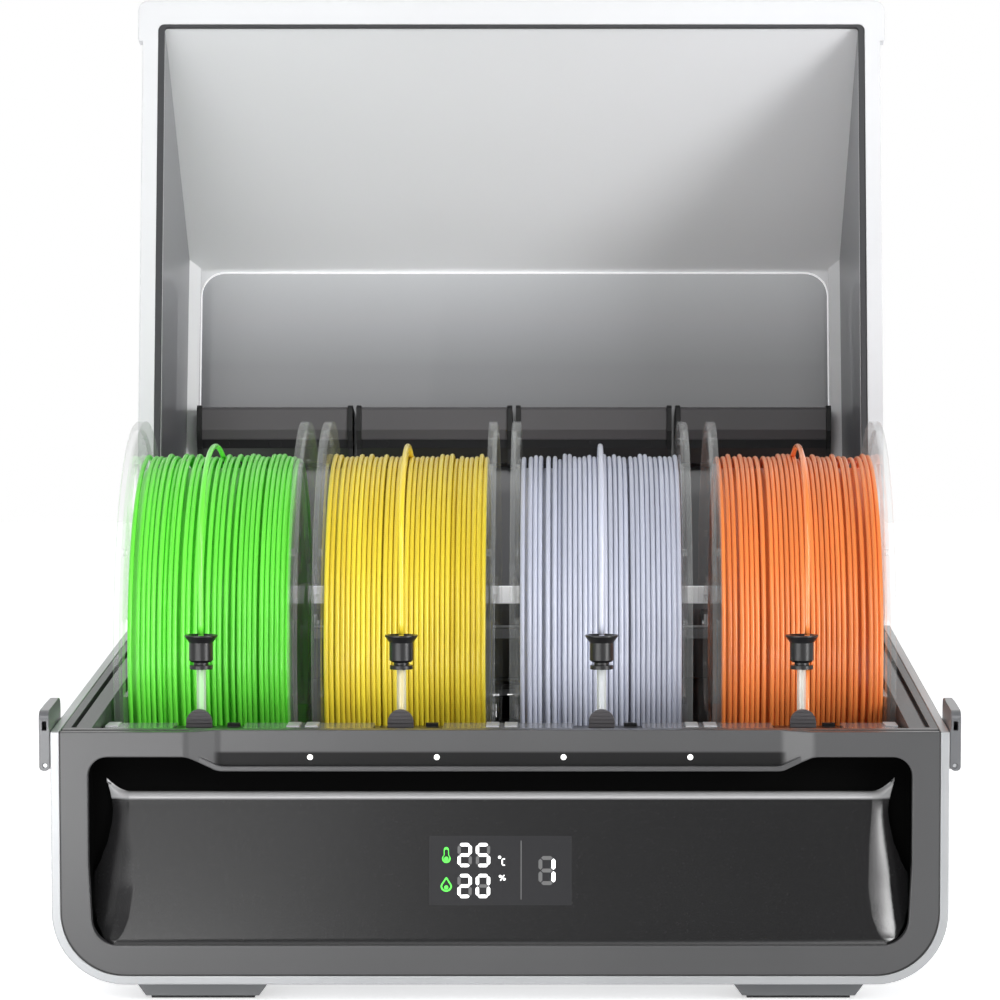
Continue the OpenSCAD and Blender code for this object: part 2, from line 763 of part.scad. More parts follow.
module feet() {
    color([0.4, 0.41, 0.42]) foot_places() difference() {
        along_y(-foot_l / 2, foot_l / 2) polygon([[-foot_low_w / 2, pad_t], [foot_low_w / 2, pad_t],
            [foot_top_w / 2, foot_h], [-foot_top_w / 2, foot_h]]);
        cylinder(r = screw_r, h = far);
        cylinder(r = 2 * screw_r, h = pad_t + 1.4);
    }
}

module foot_pads() {
    color([0.1, 0.1, 0.1]) foot_places()
        translate([-foot_low_w / 2 + 2, -foot_l / 2 + 2, 0]) cube([foot_low_w - 4, foot_l - 4, pad_t]);
}

module case_screws() {
    color([0.7, 0.7, 0.72]) foot_places() {
        translate([0, 0, pad_t + 0.2]) cylinder(r = 2 * screw_r - seat, h = 1.2);
        translate([0, 0, pad_t + 0.3]) cylinder(r = screw_r - seat, h = floor_z - pad_t + 2);
    }
}

// ---------------------------------------------------------------- hinges, latches

module hinge_pins() {
    color([0.75, 0.75, 0.77]) for (s = [-1, 1]) translate([s * hinge_x, hinge_y, hinge_z])
        rod_x(pin_d / 2, -ear_out - 1, ear_out + 1);
}

latch_pin_r = 0.9;
latch_barrel_r = latch_out / 2 - run;
module latch_pins() {
    color([0.75, 0.75, 0.77]) both_sides() translate([latch_axis_x, 0, latch_axis_z])
        rod_y(latch_pin_r, latch_y0 + 1, latch_y0 + latch_l - 1);
}

module latch() {
    out = half_w + latch_out;
    top = rim_z(0) + latch_rise;
    lean = tan(rim_slope) * latch_l;
    inner_low = half_w + run;
    inner_top = half_w + 0.8;
    difference() {
        intersection() {
            union() {
                along_y(latch_y0, latch_y0 + latch_l) polygon(rounded([
                    [inner_low, latch_axis_z], [latch_axis_x, latch_axis_z],
                    [latch_axis_x, latch_axis_z - latch_barrel_r], [out, latch_axis_z - latch_barrel_r],
                    [out, top + lean], [inner_top, top + lean], [inner_top, front_h + 2],
                    [inner_low, front_h]], [0, 0, 0, 1.7, 1.5, 1.2, 0, 0]));
                translate([latch_axis_x, 0, latch_axis_z]) rod_y(latch_barrel_r, latch_y0, latch_y0 + latch_l);
            }
            along_x(2 * far) polygon(rounded([[latch_y0, latch_axis_z - 4],
                [latch_y0 + latch_l, latch_axis_z - 4], [latch_y0 + latch_l, top + lean],
                [latch_y0, top]], [1, 5, 5, 4]));
        }
        translate([latch_axis_x, 0, latch_axis_z]) rod_y(latch_pin_r + pin_run, -far, far);
        for (y = [latch_y0 + ear_at, latch_y0 + latch_l - ear_at - ear_l])
            box(0, latch_axis_x + ear_r + run + 0.1, y - run, y + ear_l + run,
                latch_axis_z - ear_r - 1, latch_axis_z + ear_r + run);
        box(inner_top + 0.8, out - 1.2, 0, latch_y0 + 12, front_h + 0.6, front_h + 4.4);
    }
}

module left_latch() { color([0.68, 0.69, 0.7]) mirror([1, 0, 0]) latch(); }
module right_latch() { color([0.68, 0.69, 0.7]) latch(); }

// ---------------------------------------------------------------- lid
// The lid is drawn closed and then swung open about the hinge axis.

module swung_open() {
    translate([0, hinge_y, hinge_z]) rotate([-lid_open, 0, 0])
        translate([0, -hinge_y, -hinge_z]) children();
}

white_w = 7.6;       // white band of the lid frame
gasket_w = 3;
lip_w = 12;          // white band along the front
seal_front = 1.4;    // width of the seal along the front
seal_low = lid_gap + 0.6;
seal_top = seal_low + 3.4;
ear_len = 20.4;
ear_side = half_w + 0.35;
frame_back = (lid_back) / cos(rim_slope);
slope_angle = 57.9;
seal_half = lid_half - white_w - gasket_w;
seal_y = lip_w + seal_front - lid_lip;
liner_half = seal_half + liner_t;
// The liner starts behind the seal, with its inner face flush with the seal's edge
liner_front = seal_y + 0.1 - (seal_top + seat) / tan(slope_angle);
crease_z = lid_h - 20;
crease = [liner_front + (crease_z - rim_z(liner_front)) / tan(slope_angle), crease_z];
liner_back = hinge_y - barrel_r - run - gasket_w - liner_t - 2 * seat;
chamfer = 5.6;

// Side view of the lid's outer face, from below the rim
lid_side = [[-lid_lip - (60 - frame_t) / tan(slope_angle), front_h - 60 + frame_t],
    [-lid_lip + (lid_h - front_h - frame_t) / tan(slope_angle), lid_h],
    [lid_back - 32, lid_h - 4], [lid_back, lid_h - 58], [lid_back, front_h - 60]];
lid_side_r = [0, 16, 44, 30, 0];
// Side view of the liner's inner face
liner_side = [[liner_front - 60 / tan(slope_angle), rim_z(liner_front) - 60], crease,
    [liner_back - 22, crease_z + 6], [liner_back, lid_h - 62], [liner_back, front_h - 60]];
liner_side_r = [0, 2, 20, 26, 0];
// Front views
lid_front = [[-lid_half, 0], [lid_half, 0], [lid_half - 3, lid_h], [-lid_half + 3, lid_h]];
lid_front_r = [0, 0, 16, 16];
liner_front_view = [[-liner_half - 0.8, 0], [liner_half + 0.8, 0],
    [liner_half - 1.2, crease_z - chamfer - 1], [liner_half - 1.2 - chamfer, crease_z - 1],
    [liner_half - 1.2 - chamfer, far], [-liner_half + 1.2 + chamfer, far],
    [-liner_half + 1.2 + chamfer, crease_z - 1], [-liner_half + 1.2, crease_z - chamfer - 1]];

module lid_prism(side, side_r, front, front_r) {
    intersection() {
        along_x(2 * far) polygon(rounded(side, side_r));
        along_y(-far, far) polygon(rounded(front, front_r));
    }
}

module liner_prism(d) {
    grow = liner_half - liner_t;
    intersection() {
        along_x(2 * far) polygon(rounded(inset(liner_side, -d), [for (r = liner_side_r) r > 0 ? r + d : 0]));
        along_y(-far, far) polygon([for (p = liner_front_view)
            [p[0] + (p[0] > 0 ? 1 : -1) * (d - liner_t), p[1] + (p[1] > 1 ? d : 0)]]);
    }
}

module lid_frame() {
    color([0.94, 0.94, 0.95]) swung_open() difference() {
        union() {
            on_rim() translate([0, 0, lid_gap]) linear_extrude(frame_t) difference() {
                union() {
                    polygon(rounded([[-lid_half, -lid_lip], [lid_half, -lid_lip],
                        [lid_half, frame_back], [-lid_half, frame_back]], [5, 5, 3, 3]));
                    polygon(rounded([[-ear_side, -lid_lip], [ear_side, -lid_lip],
                        [ear_side, ear_len - lid_lip], [-ear_side, ear_len - lid_lip]], [5, 5, 0.4, 0.4]));
                }
                seal_outline(0);
            }
        }
        difference() { liner_prism(liner_t + seat); below_rim(seal_top); }
        for (s = [-1, 1]) translate([s * hinge_x, hinge_y, hinge_z])
            rod_x(barrel_r + 3.8, -ear_out - 1.5, ear_out + 1.5);
    }
    color([0.94, 0.94, 0.95]) swung_open() for (s = [-1, 1]) translate([s * hinge_x, hinge_y, hinge_z])
        difference() {
            union() {
                rod_x(barrel_r, -knuckle_w / 2, knuckle_w / 2);
                box(-knuckle_w / 2, knuckle_w / 2, -3.6, lid_back - hinge_y, 0.6, frame_t);
            }
            rod_x(pin_d / 2 + pin_run, -far, far);
        }
}

// Outline of the seal on the rim, 0 for its outer edge and 1 for its inner edge
seal_back = liner_back / cos(rim_slope) + 0.3;
module seal_outline(side) {
    half = seal_half + (1 - side) * gasket_w;
    back = seal_back + (1 - side) * gasket_w;
    front = seal_y - (1 - side) * seal_front;
    r = side == 0 ? 3 : 1.5;
    polygon(rounded([[-half, front], [half, front], [half, back], [-half, back]], [r, r, r, r]));
}

module lid_gasket() {
    color([0.15, 0.15, 0.16]) swung_open() on_rim() translate([0, 0, seal_low])
        linear_extrude(seal_top - seal_low) difference() { seal_outline(0); seal_outline(1); }
}

module lid_shell() {
    color([0.9, 0.91, 0.92, 0.9]) swung_open() difference() {
        lid_prism(lid_side, lid_side_r, lid_front, lid_front_r);
        lid_prism(inset(lid_side, lid_t), [0, 14, 42, 28, 0], inset(lid_front, lid_t), [0, 0, 14, 14]);
        below_rim(lid_gap + frame_t);
    }
}

// Local frame on the liner's top panel, y along the panel from the crease
top_tilt = atan2(6, liner_back - 22 - crease[0]);
window_l = (liner_back - 22 - crease[0]) / cos(top_tilt) - 9.1;
window_half = liner_half - 1.2 - chamfer - liner_t - 0.4;
window_r = 12.3;
module on_top_panel() { translate([0, crease[0], crease[1]]) rotate([top_tilt, 0, 0]) children(); }
module window_outline(d) {
    polygon(rounded([[-window_half - d, 1.5 - d], [window_half + d, 1.5 - d],
        [window_half + d, window_l + d], [-window_half - d, window_l + d]],
        [for (k = [0:3]) window_r]));
}

module lid_liner() {
    color([0.75, 0.76, 0.78, 0.95]) swung_open() difference() {
        liner_prism(liner_t);
        liner_prism(0);
        below_rim(seal_top + seat);
        on_top_panel() translate([0, 0, -far / 2]) linear_extrude(far) window_outline(0.05);
    }
}

module lid_window() {
    color([0.4, 0.4, 0.42, 0.6]) swung_open() on_top_panel() linear_extrude(liner_t) window_outline(0);
}

dry_pitch = (liner_half - 1.2 - chamfer - liner_t - 0.5 + dry_gap / 2) / 2;
dry_l = dry_pitch - dry_gap;
dry_y = 77;          // distance of the boxes from the crease
dry_drop = 19;
cap_t = 2.5;
// Section of a desiccant box, hanging from the top panel
dry_section = [[0, 0], [0, -dry_drop + 1.5], [1.2, -dry_drop], [12.6, -dry_drop],
    [17, -dry_drop + 2], [21, -dry_drop + 6], [28.5, -dry_drop + 8], [28.5, 0]];

module dry_box(i) {
    color([0.3, 0.3, 0.3]) swung_open() on_top_panel()
        translate([(i - 1.5) * dry_pitch, dry_y, 0])
            along_x(dry_l - 2 * cap_t) polygon(dry_section);
}

module dry_box_caps() {
    color([0.08, 0.08, 0.08]) swung_open() on_top_panel()
        for (i = [0:3], s = [-1, 1])
            translate([(i - 1.5) * dry_pitch + s * (dry_l - cap_t) / 2, dry_y, 0])
                along_x(cap_t) polygon([[-0.8, 0], [-0.8, -dry_drop + 1], [0.9, -dry_drop - 0.8],
                    [13, -dry_drop - 0.8], [17.4, -dry_drop + 1.2], [21.6, -dry_drop + 5.2],
                    [29.3, -dry_drop + 7.2], [29.3, 0]]);
}

// ---------------------------------------------------------------- spools

window_n = 6;
hole_n = 6;
wind_half = spool_w / 2 - rim_t;

module flange_windows() {
    inner = core_d / 2 + 8;
    outer = wound_d / 2 + 3;
    for (k = [0:window_n - 1]) rotate([k * 360 / window_n, 0, 0]) {
        along_x(2 * far) polygon(rounded([[inner * cos(18), inner * sin(18)], [outer * cos(11), outer * sin(11)],
            [outer + 2, 0], [outer * cos(11), -outer * sin(11)],
            [inner * cos(18), -inner * sin(18)]], [3, 4, 0, 4, 3]));
        rotate([180 / window_n, 0, 0]) translate([0, spool_d / 2 - 9, 0]) rod_x(1.5, -far, far);
    }
}

module spool(i) {
    side = spool_w / 2;
    rim = spool_d / 2;
    rim_h = 4;
    lip = 1;
    color([0.88, 0.9, 0.9, 0.5]) translate([spool_x(i), spool_y, spool_z]) {
        difference() {
            rotate([0, 90, 0]) rotate_extrude($fn = 96) polygon([
                [core_bore / 2, -side], [core_bore / 2 + 3, -side], [core_bore / 2 + 3, -side + rim_t - web_t],
                [rim - rim_h, -side + rim_t - web_t], [rim - rim_h, -side], [rim - lip / 2, -side], [rim, -side + lip / 2],
                [rim, -side + rim_t], [core_d / 2, -side + rim_t], [core_d / 2, side - rim_t],
                [rim, side - rim_t], [rim, side - lip / 2], [rim - lip / 2, side], [rim - rim_h, side],
                [rim - rim_h, side - rim_t + web_t], [core_bore / 2 + 3, side - rim_t + web_t],
                [core_bore / 2 + 3, side], [core_bore / 2, side]]);
            difference() {
                flange_windows();
                rod_x(core_d / 2, -wind_half, wind_half);
            }
        }
    }
}

wound_colours = [[0.2, 0.97, 0.09], [0.98, 0.78, 0.05], [0.62, 0.65, 0.8], [0.92, 0.4, 0.1]];
turns = floor(2 * (wind_half - seat) / turn_pitch);

module filament(i) {
    outer = wound_d / 2;
    start = -turns * turn_pitch / 2;
    color(wound_colours[i]) translate([spool_x(i), spool_y, spool_z])
        rotate([0, 90, 0]) rotate_extrude($fn = 96) polygon(concat(
            [[core_d / 2 + eps, start]],
            [for (k = [0:turns - 1]) each [[outer - 0.7, start + k * turn_pitch],
                [outer, start + (k + 0.3) * turn_pitch], [outer, start + (k + 0.7) * turn_pitch]]],
            [[outer - 0.7, -start], [core_d / 2 + eps, -start]]));
}

// ---------------------------------------------------------------- assembly

// Moves the front face to its place, with the origin mid-way between the front
// lip of the body and the furthest reach of the open lid
lid_reach = max([for (p = rounded(lid_side, lid_side_r)) opened(p)[0]]);
module at_origin() { translate([0, -(lid_reach) / 2, 0]) children(); }

at_origin() outer_shell();
at_origin() front_fascia();
at_origin() front_panel();
at_origin() display_window();
at_origin() display_board();
at_origin() indicator_lenses();
at_origin() spool_tray();
at_origin() front_deck();
at_origin() bay_guides();
at_origin() feeder(0);  // feeder_1
at_origin() feeder(1);  // feeder_2
at_origin() feeder(2);  // feeder_3
at_origin() feeder(3);  // feeder_4
at_origin() release_tab(0);  // release_tab_1
at_origin() release_tab(1);  // release_tab_2
at_origin() release_tab(2);  // release_tab_3
at_origin() release_tab(3);  // release_tab_4
at_origin() guide_tubes();
at_origin() funnels();
at_origin() filament_leads();
at_origin() roller(0, -1);  // front_roller_1
at_origin() roller(1, -1);  // front_roller_2
at_origin() roller(2, -1);  // front_roller_3
at_origin() roller(3, -1);  // front_roller_4
at_origin() roller(0, 1);  // rear_roller_1
at_origin() roller(1, 1);  // rear_roller_2
at_origin() roller(2, 1);  // rear_roller_3
at_origin() roller(3, 1);  // rear_roller_4
at_origin() roller_bushes();
at_origin() fan_frame();
at_origin() fan_rotor();
at_origin() heater_block();
at_origin() control_board();
at_origin() tube_outlets();
at_origin() power_socket();
at_origin() feet();
at_origin() foot_pads();
at_origin() case_screws();
at_origin() hinge_pins();
at_origin() latch_pins();
at_origin() left_latch();
at_origin() right_latch();
at_origin() lid_frame();
at_origin() lid_shell();
at_origin() lid_liner();
at_origin() lid_window();
at_origin() lid_gasket();
at_origin() dry_box(0);  // dry_box_1
at_origin() dry_box(1);  // dry_box_2
at_origin() dry_box(2);  // dry_box_3
at_origin() dry_box(3);  // dry_box_4
at_origin() dry_box_caps();
at_origin() spool(0);  // spool_1
at_origin() spool(1);  // spool_2
at_origin() spool(2);  // spool_3
at_origin() spool(3);  // spool_4
at_origin() filament(0);  // filament_1
at_origin() filament(1);  // filament_2
at_origin() filament(2);  // filament_3
at_origin() filament(3);  // filament_4
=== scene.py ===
"""Looks of the four-spool filament dryer box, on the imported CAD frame.

Lengths are in millimetres until place() turns them into metres. Like the CAD
source, they are counted back from the front face of the body."""
import json
import math
import random

import bmesh
import bpy
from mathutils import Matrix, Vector

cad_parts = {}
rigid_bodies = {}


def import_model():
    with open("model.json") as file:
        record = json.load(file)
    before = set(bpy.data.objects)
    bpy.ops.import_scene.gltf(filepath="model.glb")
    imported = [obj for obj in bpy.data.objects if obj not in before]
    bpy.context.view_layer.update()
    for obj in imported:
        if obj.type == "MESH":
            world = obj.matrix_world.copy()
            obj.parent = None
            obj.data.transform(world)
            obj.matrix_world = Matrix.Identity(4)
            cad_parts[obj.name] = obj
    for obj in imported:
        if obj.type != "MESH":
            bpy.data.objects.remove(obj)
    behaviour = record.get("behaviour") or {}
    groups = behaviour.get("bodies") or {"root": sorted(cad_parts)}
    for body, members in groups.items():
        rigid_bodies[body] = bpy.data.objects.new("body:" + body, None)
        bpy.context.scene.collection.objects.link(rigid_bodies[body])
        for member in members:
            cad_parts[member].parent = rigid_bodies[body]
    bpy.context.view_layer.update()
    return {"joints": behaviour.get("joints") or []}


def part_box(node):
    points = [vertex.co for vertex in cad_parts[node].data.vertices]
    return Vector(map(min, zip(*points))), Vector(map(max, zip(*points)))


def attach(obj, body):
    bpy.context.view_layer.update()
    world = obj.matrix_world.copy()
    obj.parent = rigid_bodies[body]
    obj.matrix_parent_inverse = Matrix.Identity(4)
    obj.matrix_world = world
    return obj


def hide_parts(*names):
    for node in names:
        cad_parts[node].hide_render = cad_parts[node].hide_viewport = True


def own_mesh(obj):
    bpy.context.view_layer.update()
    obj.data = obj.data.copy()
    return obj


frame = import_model()

MM = 0.001
FRONT = Vector(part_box("front_fascia")[0]).y / MM    # front face of the body, along the frame's Y


def node_box(node):
    """Lowest and highest corner of a CAD node, in millimetres from the front face."""
    low, high = (Vector(corner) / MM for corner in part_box(node))
    back = Vector((0, FRONT, 0))
    return low - back, high - back


def place(x, y, z):
    """A point of the frame, in metres, from millimetres behind the front face."""
    return Vector((x, y + FRONT, z)) * MM


# ---------------------------------------------------------------- materials

def new_material(name):
    mat = bpy.data.materials.new(name)
    mat.use_nodes = True
    return mat, mat.node_tree, mat.node_tree.nodes["Principled BSDF"]


def set_sockets(shader, **values):
    for name, value in values.items():
        shader.inputs[name.replace("_", " ")].default_value = value


def noise(tree, scale, detail=3.0, stretch=(1, 1, 1)):
    """Noise in object coordinates, which are metres."""
    coords = tree.nodes.new("ShaderNodeTexCoord")
    mapping = tree.nodes.new("ShaderNodeMapping")
    mapping.inputs["Scale"].default_value = stretch
    tree.links.new(coords.outputs["Object"], mapping.inputs["Vector"])
    texture = tree.nodes.new("ShaderNodeTexNoise")
    texture.inputs["Scale"].default_value = scale
    texture.inputs["Detail"].default_value = detail
    tree.links.new(mapping.outputs["Vector"], texture.inputs["Vector"])
    return texture


def ramp(tree, source, stops):
    """Colour ramp from a list of (position, colour)."""
    node = tree.nodes.new("ShaderNodeValToRGB")
    elements = node.color_ramp.elements
    while len(elements) < len(stops):
        elements.new(0.5)
    for element, (position, colour) in zip(elements, stops):
        element.position = position
        element.color = (*colour, 1)
    tree.links.new(source, node.inputs["Fac"])
    return node.outputs["Color"]


def along(tree, axis):
    """One object coordinate in metres."""
    coords = tree.nodes.new("ShaderNodeTexCoord")
    split = tree.nodes.new("ShaderNodeSeparateXYZ")
    tree.links.new(coords.outputs["Object"], split.inputs["Vector"])
    return split.outputs[axis]


def math_node(tree, operation, first, second):
    """Math on two values, each a socket or a number."""
    node = tree.nodes.new("ShaderNodeMath")
    node.operation = operation
    for socket, value in zip(node.inputs, (first, second)):
        if isinstance(value, (int, float)):
            socket.default_value = value
        else:
            tree.links.new(value, socket)
    return node.outputs["Value"]


def rounded_distance(tree, node, corner):
    """How far a point is outside a node's outline, which has round lower corners; in metres."""
    low, high = node_box(node)
    side = math_node(tree, "ABSOLUTE", along(tree, "X"), 0)
    over = math_node(tree, "MAXIMUM", math_node(tree, "SUBTRACT", side, (high.x - corner) * MM), 0)
    short = math_node(tree, "SUBTRACT", (low.z + corner) * MM, along(tree, "Z"))
    under = math_node(tree, "MAXIMUM", short, 0)
    squares = math_node(tree, "ADD", math_node(tree, "MULTIPLY", over, over),
                        math_node(tree, "MULTIPLY", under, under))
    return math_node(tree, "SUBTRACT", math_node(tree, "SQRT", squares, 0), corner * MM)


def fraction(tree, source, low, high):
    """How far a value is from low (0) to high (1); low may be the larger one."""
    node = tree.nodes.new("ShaderNodeMapRange")
    node.inputs["From Min"].default_value = low
    node.inputs["From Max"].default_value = high
    tree.links.new(source, node.inputs["Value"])
    return node.outputs["Result"]


def direction(tree, axis):
    """One part of the surface's direction, in the object's own axes."""
    coords = tree.nodes.new("ShaderNodeTexCoord")
    split = tree.nodes.new("ShaderNodeSeparateXYZ")
    tree.links.new(coords.outputs["Normal"], split.inputs["Vector"])
    return split.outputs[axis]


def scaled(tree, source, low, high):
    """A value from 0 to 1, spread from low to high."""
    node = tree.nodes.new("ShaderNodeMapRange")
    node.inputs["To Min"].default_value = low
    node.inputs["To Max"].default_value = high
    tree.links.new(source, node.inputs["Value"])
    return node.outputs["Result"]


def mixed(tree, factor, first, second):
    """Colour from first (factor 0) to second (factor 1), each a socket or a colour."""
    node = tree.nodes.new("ShaderNodeMix")
    node.data_type = "RGBA"
    tree.links.new(factor, node.inputs["Factor"])
    for name, colour in (("A", first), ("B", second)):
        if isinstance(colour, tuple):
            node.inputs[name].default_value = (*colour, 1)
        else:
            tree.links.new(colour, node.inputs[name])
    return node.outputs["Result"]


def shade(colour, factor):
    return tuple(min(1.0, part * factor) for part in colour)


BUMP_STRENGTH = 0.35
BEVEL_SAMPLES = 6


def bumps(tree, shader, scale, height, edge=0.0, detail=4.0):
    """Fine moulded grain, over edges softened by the radius edge (in millimetres)."""
    grain = noise(tree, scale, detail)
    bump = tree.nodes.new("ShaderNodeBump")
    bump.inputs["Strength"].default_value = BUMP_STRENGTH
    bump.inputs["Distance"].default_value = height * MM
    tree.links.new(grain.outputs["Fac"], bump.inputs["Height"])
    if edge:
        bevel = tree.nodes.new("ShaderNodeBevel")
        bevel.samples = BEVEL_SAMPLES
        bevel.inputs["Radius"].default_value = edge * MM
        tree.links.new(bevel.outputs["Normal"], bump.inputs["Normal"])
    tree.links.new(bump.outputs["Normal"], shader.inputs["Normal"])
    return grain


def plastic(name, colour, rough=0.4, grain=900, height=0.02, edge=0.4, coat=0.0, spread=0.06, **sockets):
    """Moulded plastic: a little colour drift, grain, uneven gloss and soft edges."""
    mat, tree, shader = new_material(name)
    fine = bumps(tree, shader, grain, height, edge)
    drift = noise(tree, 14, 2)
    stops = [(0.3, shade(colour, 1 - spread)), (0.7, shade(colour, 1 + spread))]
    tree.links.new(ramp(tree, drift.outputs["Fac"], stops), shader.inputs["Base Color"])
    gloss = scaled(tree, fine.outputs["Fac"], rough * 0.85, rough * 1.15)
    tree.links.new(gloss, shader.inputs["Roughness"])
    set_sockets(shader, Coat_Weight=coat, Coat_Roughness=0.15, **sockets)
    return mat


def metal(name, colour, rough=0.3, stretch=(1, 1, 1), edge=0.3):
    mat, tree, shader = new_material(name)
    fine = noise(tree, 700, 5, stretch)
    colours = ramp(tree, fine.outputs["Fac"], [(0.3, shade(colour, 0.9)), (0.7, shade(colour, 1.08))])
    tree.links.new(colours, shader.inputs["Base Color"])
    bumps(tree, shader, 1200, 0.01, edge)
    set_sockets(shader, Metallic=1.0, Roughness=rough)
    return mat


def clear(name, tint, low=0.14, high=0.75, rough=0.08, edge=0.3):
    """Clear plastic: see-through face on, and milky where it is seen at a slant."""
    mat, tree, shader = new_material(name)
    bumps(tree, shader, 60, 0.12, edge, 2)
    weight = tree.nodes.new("ShaderNodeLayerWeight")
    weight.inputs["Blend"].default_value = 0.35
    tree.links.new(scaled(tree, weight.outputs["Facing"], low, high), shader.inputs["Alpha"])
    haze = noise(tree, 25, 2)
    colours = ramp(tree, haze.outputs["Fac"], [(0.3, shade(tint, 0.93)), (0.7, tint)])
    tree.links.new(colours, shader.inputs["Base Color"])
    set_sockets(shader, Roughness=rough, Coat_Weight=0.6, Coat_Roughness=0.04)
    return mat


FASCIA_CORNER = 27    # radius of the fascia's lower corners
SEAM_W = 0.6          # dark seam between the fascia and the shell
LIP_HIGHLIGHT_FROM = 82.8       # height where the painted highlight along the front panel's lip starts
RECESS_SHADE_DEPTH = 4.2     # from the front face to where the recess is painted black as shade
RECESS_SHADE_TOP = 103      # height of the top of the recess's painted shade, with its raised ends
HINGE_SHADE_TOP = 170      # height up to which the lid's frame is painted dark as shade inside
HINGE_SHADE_HALF = 173.5    # half width of that painted shade


def fascia_material(name, colour, recess_shade_and_seam_colour):
    """Satin plastic of the front, painted black as shade in the depth of the recess and without gloss there,
    with a dark seam round it.
    """
    mat = plastic(name, colour, 0.34, 1500, 0.008, edge=0.9)
    tree = mat.node_tree
    shader = tree.nodes["Principled BSDF"]
    face = shader.inputs["Base Color"].links[0].from_socket
    # painted shade: the recess's inner surfaces are coloured near black and lose their specular, standing in
    # for the shade deep in the recess
    deep = fraction(tree, along(tree, "Y"), (FRONT + RECESS_SHADE_DEPTH) * MM, (FRONT + RECESS_SHADE_DEPTH + 1) * MM)
    under = fraction(tree, along(tree, "Z"), (RECESS_SHADE_TOP + 1) * MM, RECESS_SHADE_TOP * MM)
    painted_recess_shade = math_node(tree, "MULTIPLY", deep, under)
    outside = rounded_distance(tree, "front_fascia", FASCIA_CORNER)
    seam = fraction(tree, outside, -SEAM_W * MM, -0.7 * SEAM_W * MM)
    colours = mixed(tree, seam, mixed(tree, painted_recess_shade, face, recess_shade_and_seam_colour), recess_shade_and_seam_colour)
    tree.links.new(colours, shader.inputs["Base Color"])
    tree.links.new(scaled(tree, painted_recess_shade, 0.7, 0.0), shader.inputs["Specular IOR Level"])
    return mat


def panel_material(name, colour, lip_highlight_colour):
    """Glossy dark plastic, with a light grey band painted along its lip as a highlight."""
    mat = plastic(name, colour, 0.26, 1500, 0.006, edge=0.5, coat=0.6)
    tree = mat.node_tree
    shader = tree.nodes["Principled BSDF"]
    face = shader.inputs["Base Color"].links[0].from_socket
    # painted highlight: the top of the lip is coloured light grey in place of the light it catches
    lip = fraction(tree, along(tree, "Z"), LIP_HIGHLIGHT_FROM * MM, (LIP_HIGHLIGHT_FROM + 1) * MM)
    tree.links.new(mixed(tree, lip, face, lip_highlight_colour), shader.inputs["Base Color"])
    return mat


def frame_material(name, colour, hinge_shade_colour):
    """White plastic, painted dark as shade on the low face that looks into the box at the hinge."""
    mat = plastic(name, colour, 0.3, edge=0.6, coat=0.3, spread=0.02)
    tree = mat.node_tree
    shader = tree.nodes["Principled BSDF"]
    face = shader.inputs["Base Color"].links[0].from_socket
    # painted shade: the face towards the box near the hinge is coloured near black where shade falls
    forward = fraction(tree, direction(tree, "Y"), -0.3, -0.4)
    low = fraction(tree, along(tree, "Z"), (HINGE_SHADE_TOP + 1) * MM, HINGE_SHADE_TOP * MM)
    side = math_node(tree, "ABSOLUTE", along(tree, "X"), 0)
    inner = fraction(tree, side, (HINGE_SHADE_HALF + 0.5) * MM, (HINGE_SHADE_HALF - 0.5) * MM)
    inside = math_node(tree, "MULTIPLY", math_node(tree, "MULTIPLY", forward, low), inner)
    tree.links.new(mixed(tree, inside, face, hinge_shade_colour), shader.inputs["Base Color"])
    return mat


def glow(name, colour, strength):
    mat, tree, shader = new_material(name)
    drift = noise(tree, 400, 1)
    colours = ramp(tree, drift.outputs["Fac"], [(0.2, shade(colour, 0.96)), (0.8, colour)])
    tree.links.new(colours, shader.inputs["Base Color"])
    tree.links.new(colours, shader.inputs["Emission Color"])
    set_sockets(shader, Emission_Strength=strength, Roughness=0.4)
    return mat


FILAMENT = {1: (0.19, 0.99, 0.075), 2: (1.0, 0.76, 0.05), 3: (0.62, 0.65, 0.77), 4: (0.99, 0.27, 0.065)}


def filament_material(name, colour):
    mat, tree, shader = new_material(name)
    turns = noise(tree, 260, 2, (1, 0.03, 0.03))
    colours = ramp(tree, turns.outputs["Fac"], [(0.3, shade(colour, 0.82)), (0.7, shade(colour, 1.08))])
    tree.links.new(colours, shader.inputs["Base Color"])
    bumps(tree, shader, 1500, 0.002)
    set_sockets(shader, Roughness=0.34, Coat_Weight=0.2, Coat_Roughness=0.15)
    return mat


def lead_material(name, lanes):
    """The free strands share one node, so their colour goes by their bay."""
    mat, tree, shader = new_material(name)
    low, high = node_box("filament_leads")
    side = fraction(tree, along(tree, "X"), low.x * MM, high.x * MM)
    ramped = tree.nodes.new("ShaderNodeValToRGB")
    ramped.color_ramp.interpolation = "CONSTANT"
    while len(ramped.color_ramp.elements) < len(lanes):
        ramped.color_ramp.elements.new(0.5)
    for k, colour in enumerate(lanes):
        ramped.color_ramp.elements[k].position = max(0.0, (k - 0.5) / (len(lanes) - 1))
        ramped.color_ramp.elements[k].color = (*colour, 1)
    tree.links.new(side, ramped.inputs["Fac"])
    tree.links.new(ramped.outputs["Color"], shader.inputs["Base Color"])
    bumps(tree, shader, 500, 0.01)
    set_sockets(shader, Roughness=0.25, Coat_Weight=0.4)
    return mat


def window_material(name):
    """Smoked panel, darker low down towards the hinge and lighter towards its top."""
    mat, tree, shader = new_material(name)
    low, high = node_box("lid_window")
    rise = fraction(tree, along(tree, "Z"), low.z * MM, high.z * MM)
    colours = ramp(tree, rise, [(0.35, (0.042, 0.043, 0.048)), (0.7, (0.15, 0.155, 0.168)),
                                (1.0, (0.40, 0.41, 0.43))])
    tree.links.new(colours, shader.inputs["Base Color"])
    bumps(tree, shader, 40, 0.05)
    set_sockets(shader, Roughness=0.22, Coat_Weight=0.3)
    return mat


WALL_FROM = 0.80      # a liner surface that faces sideways more than this is a side wall, painted in shade
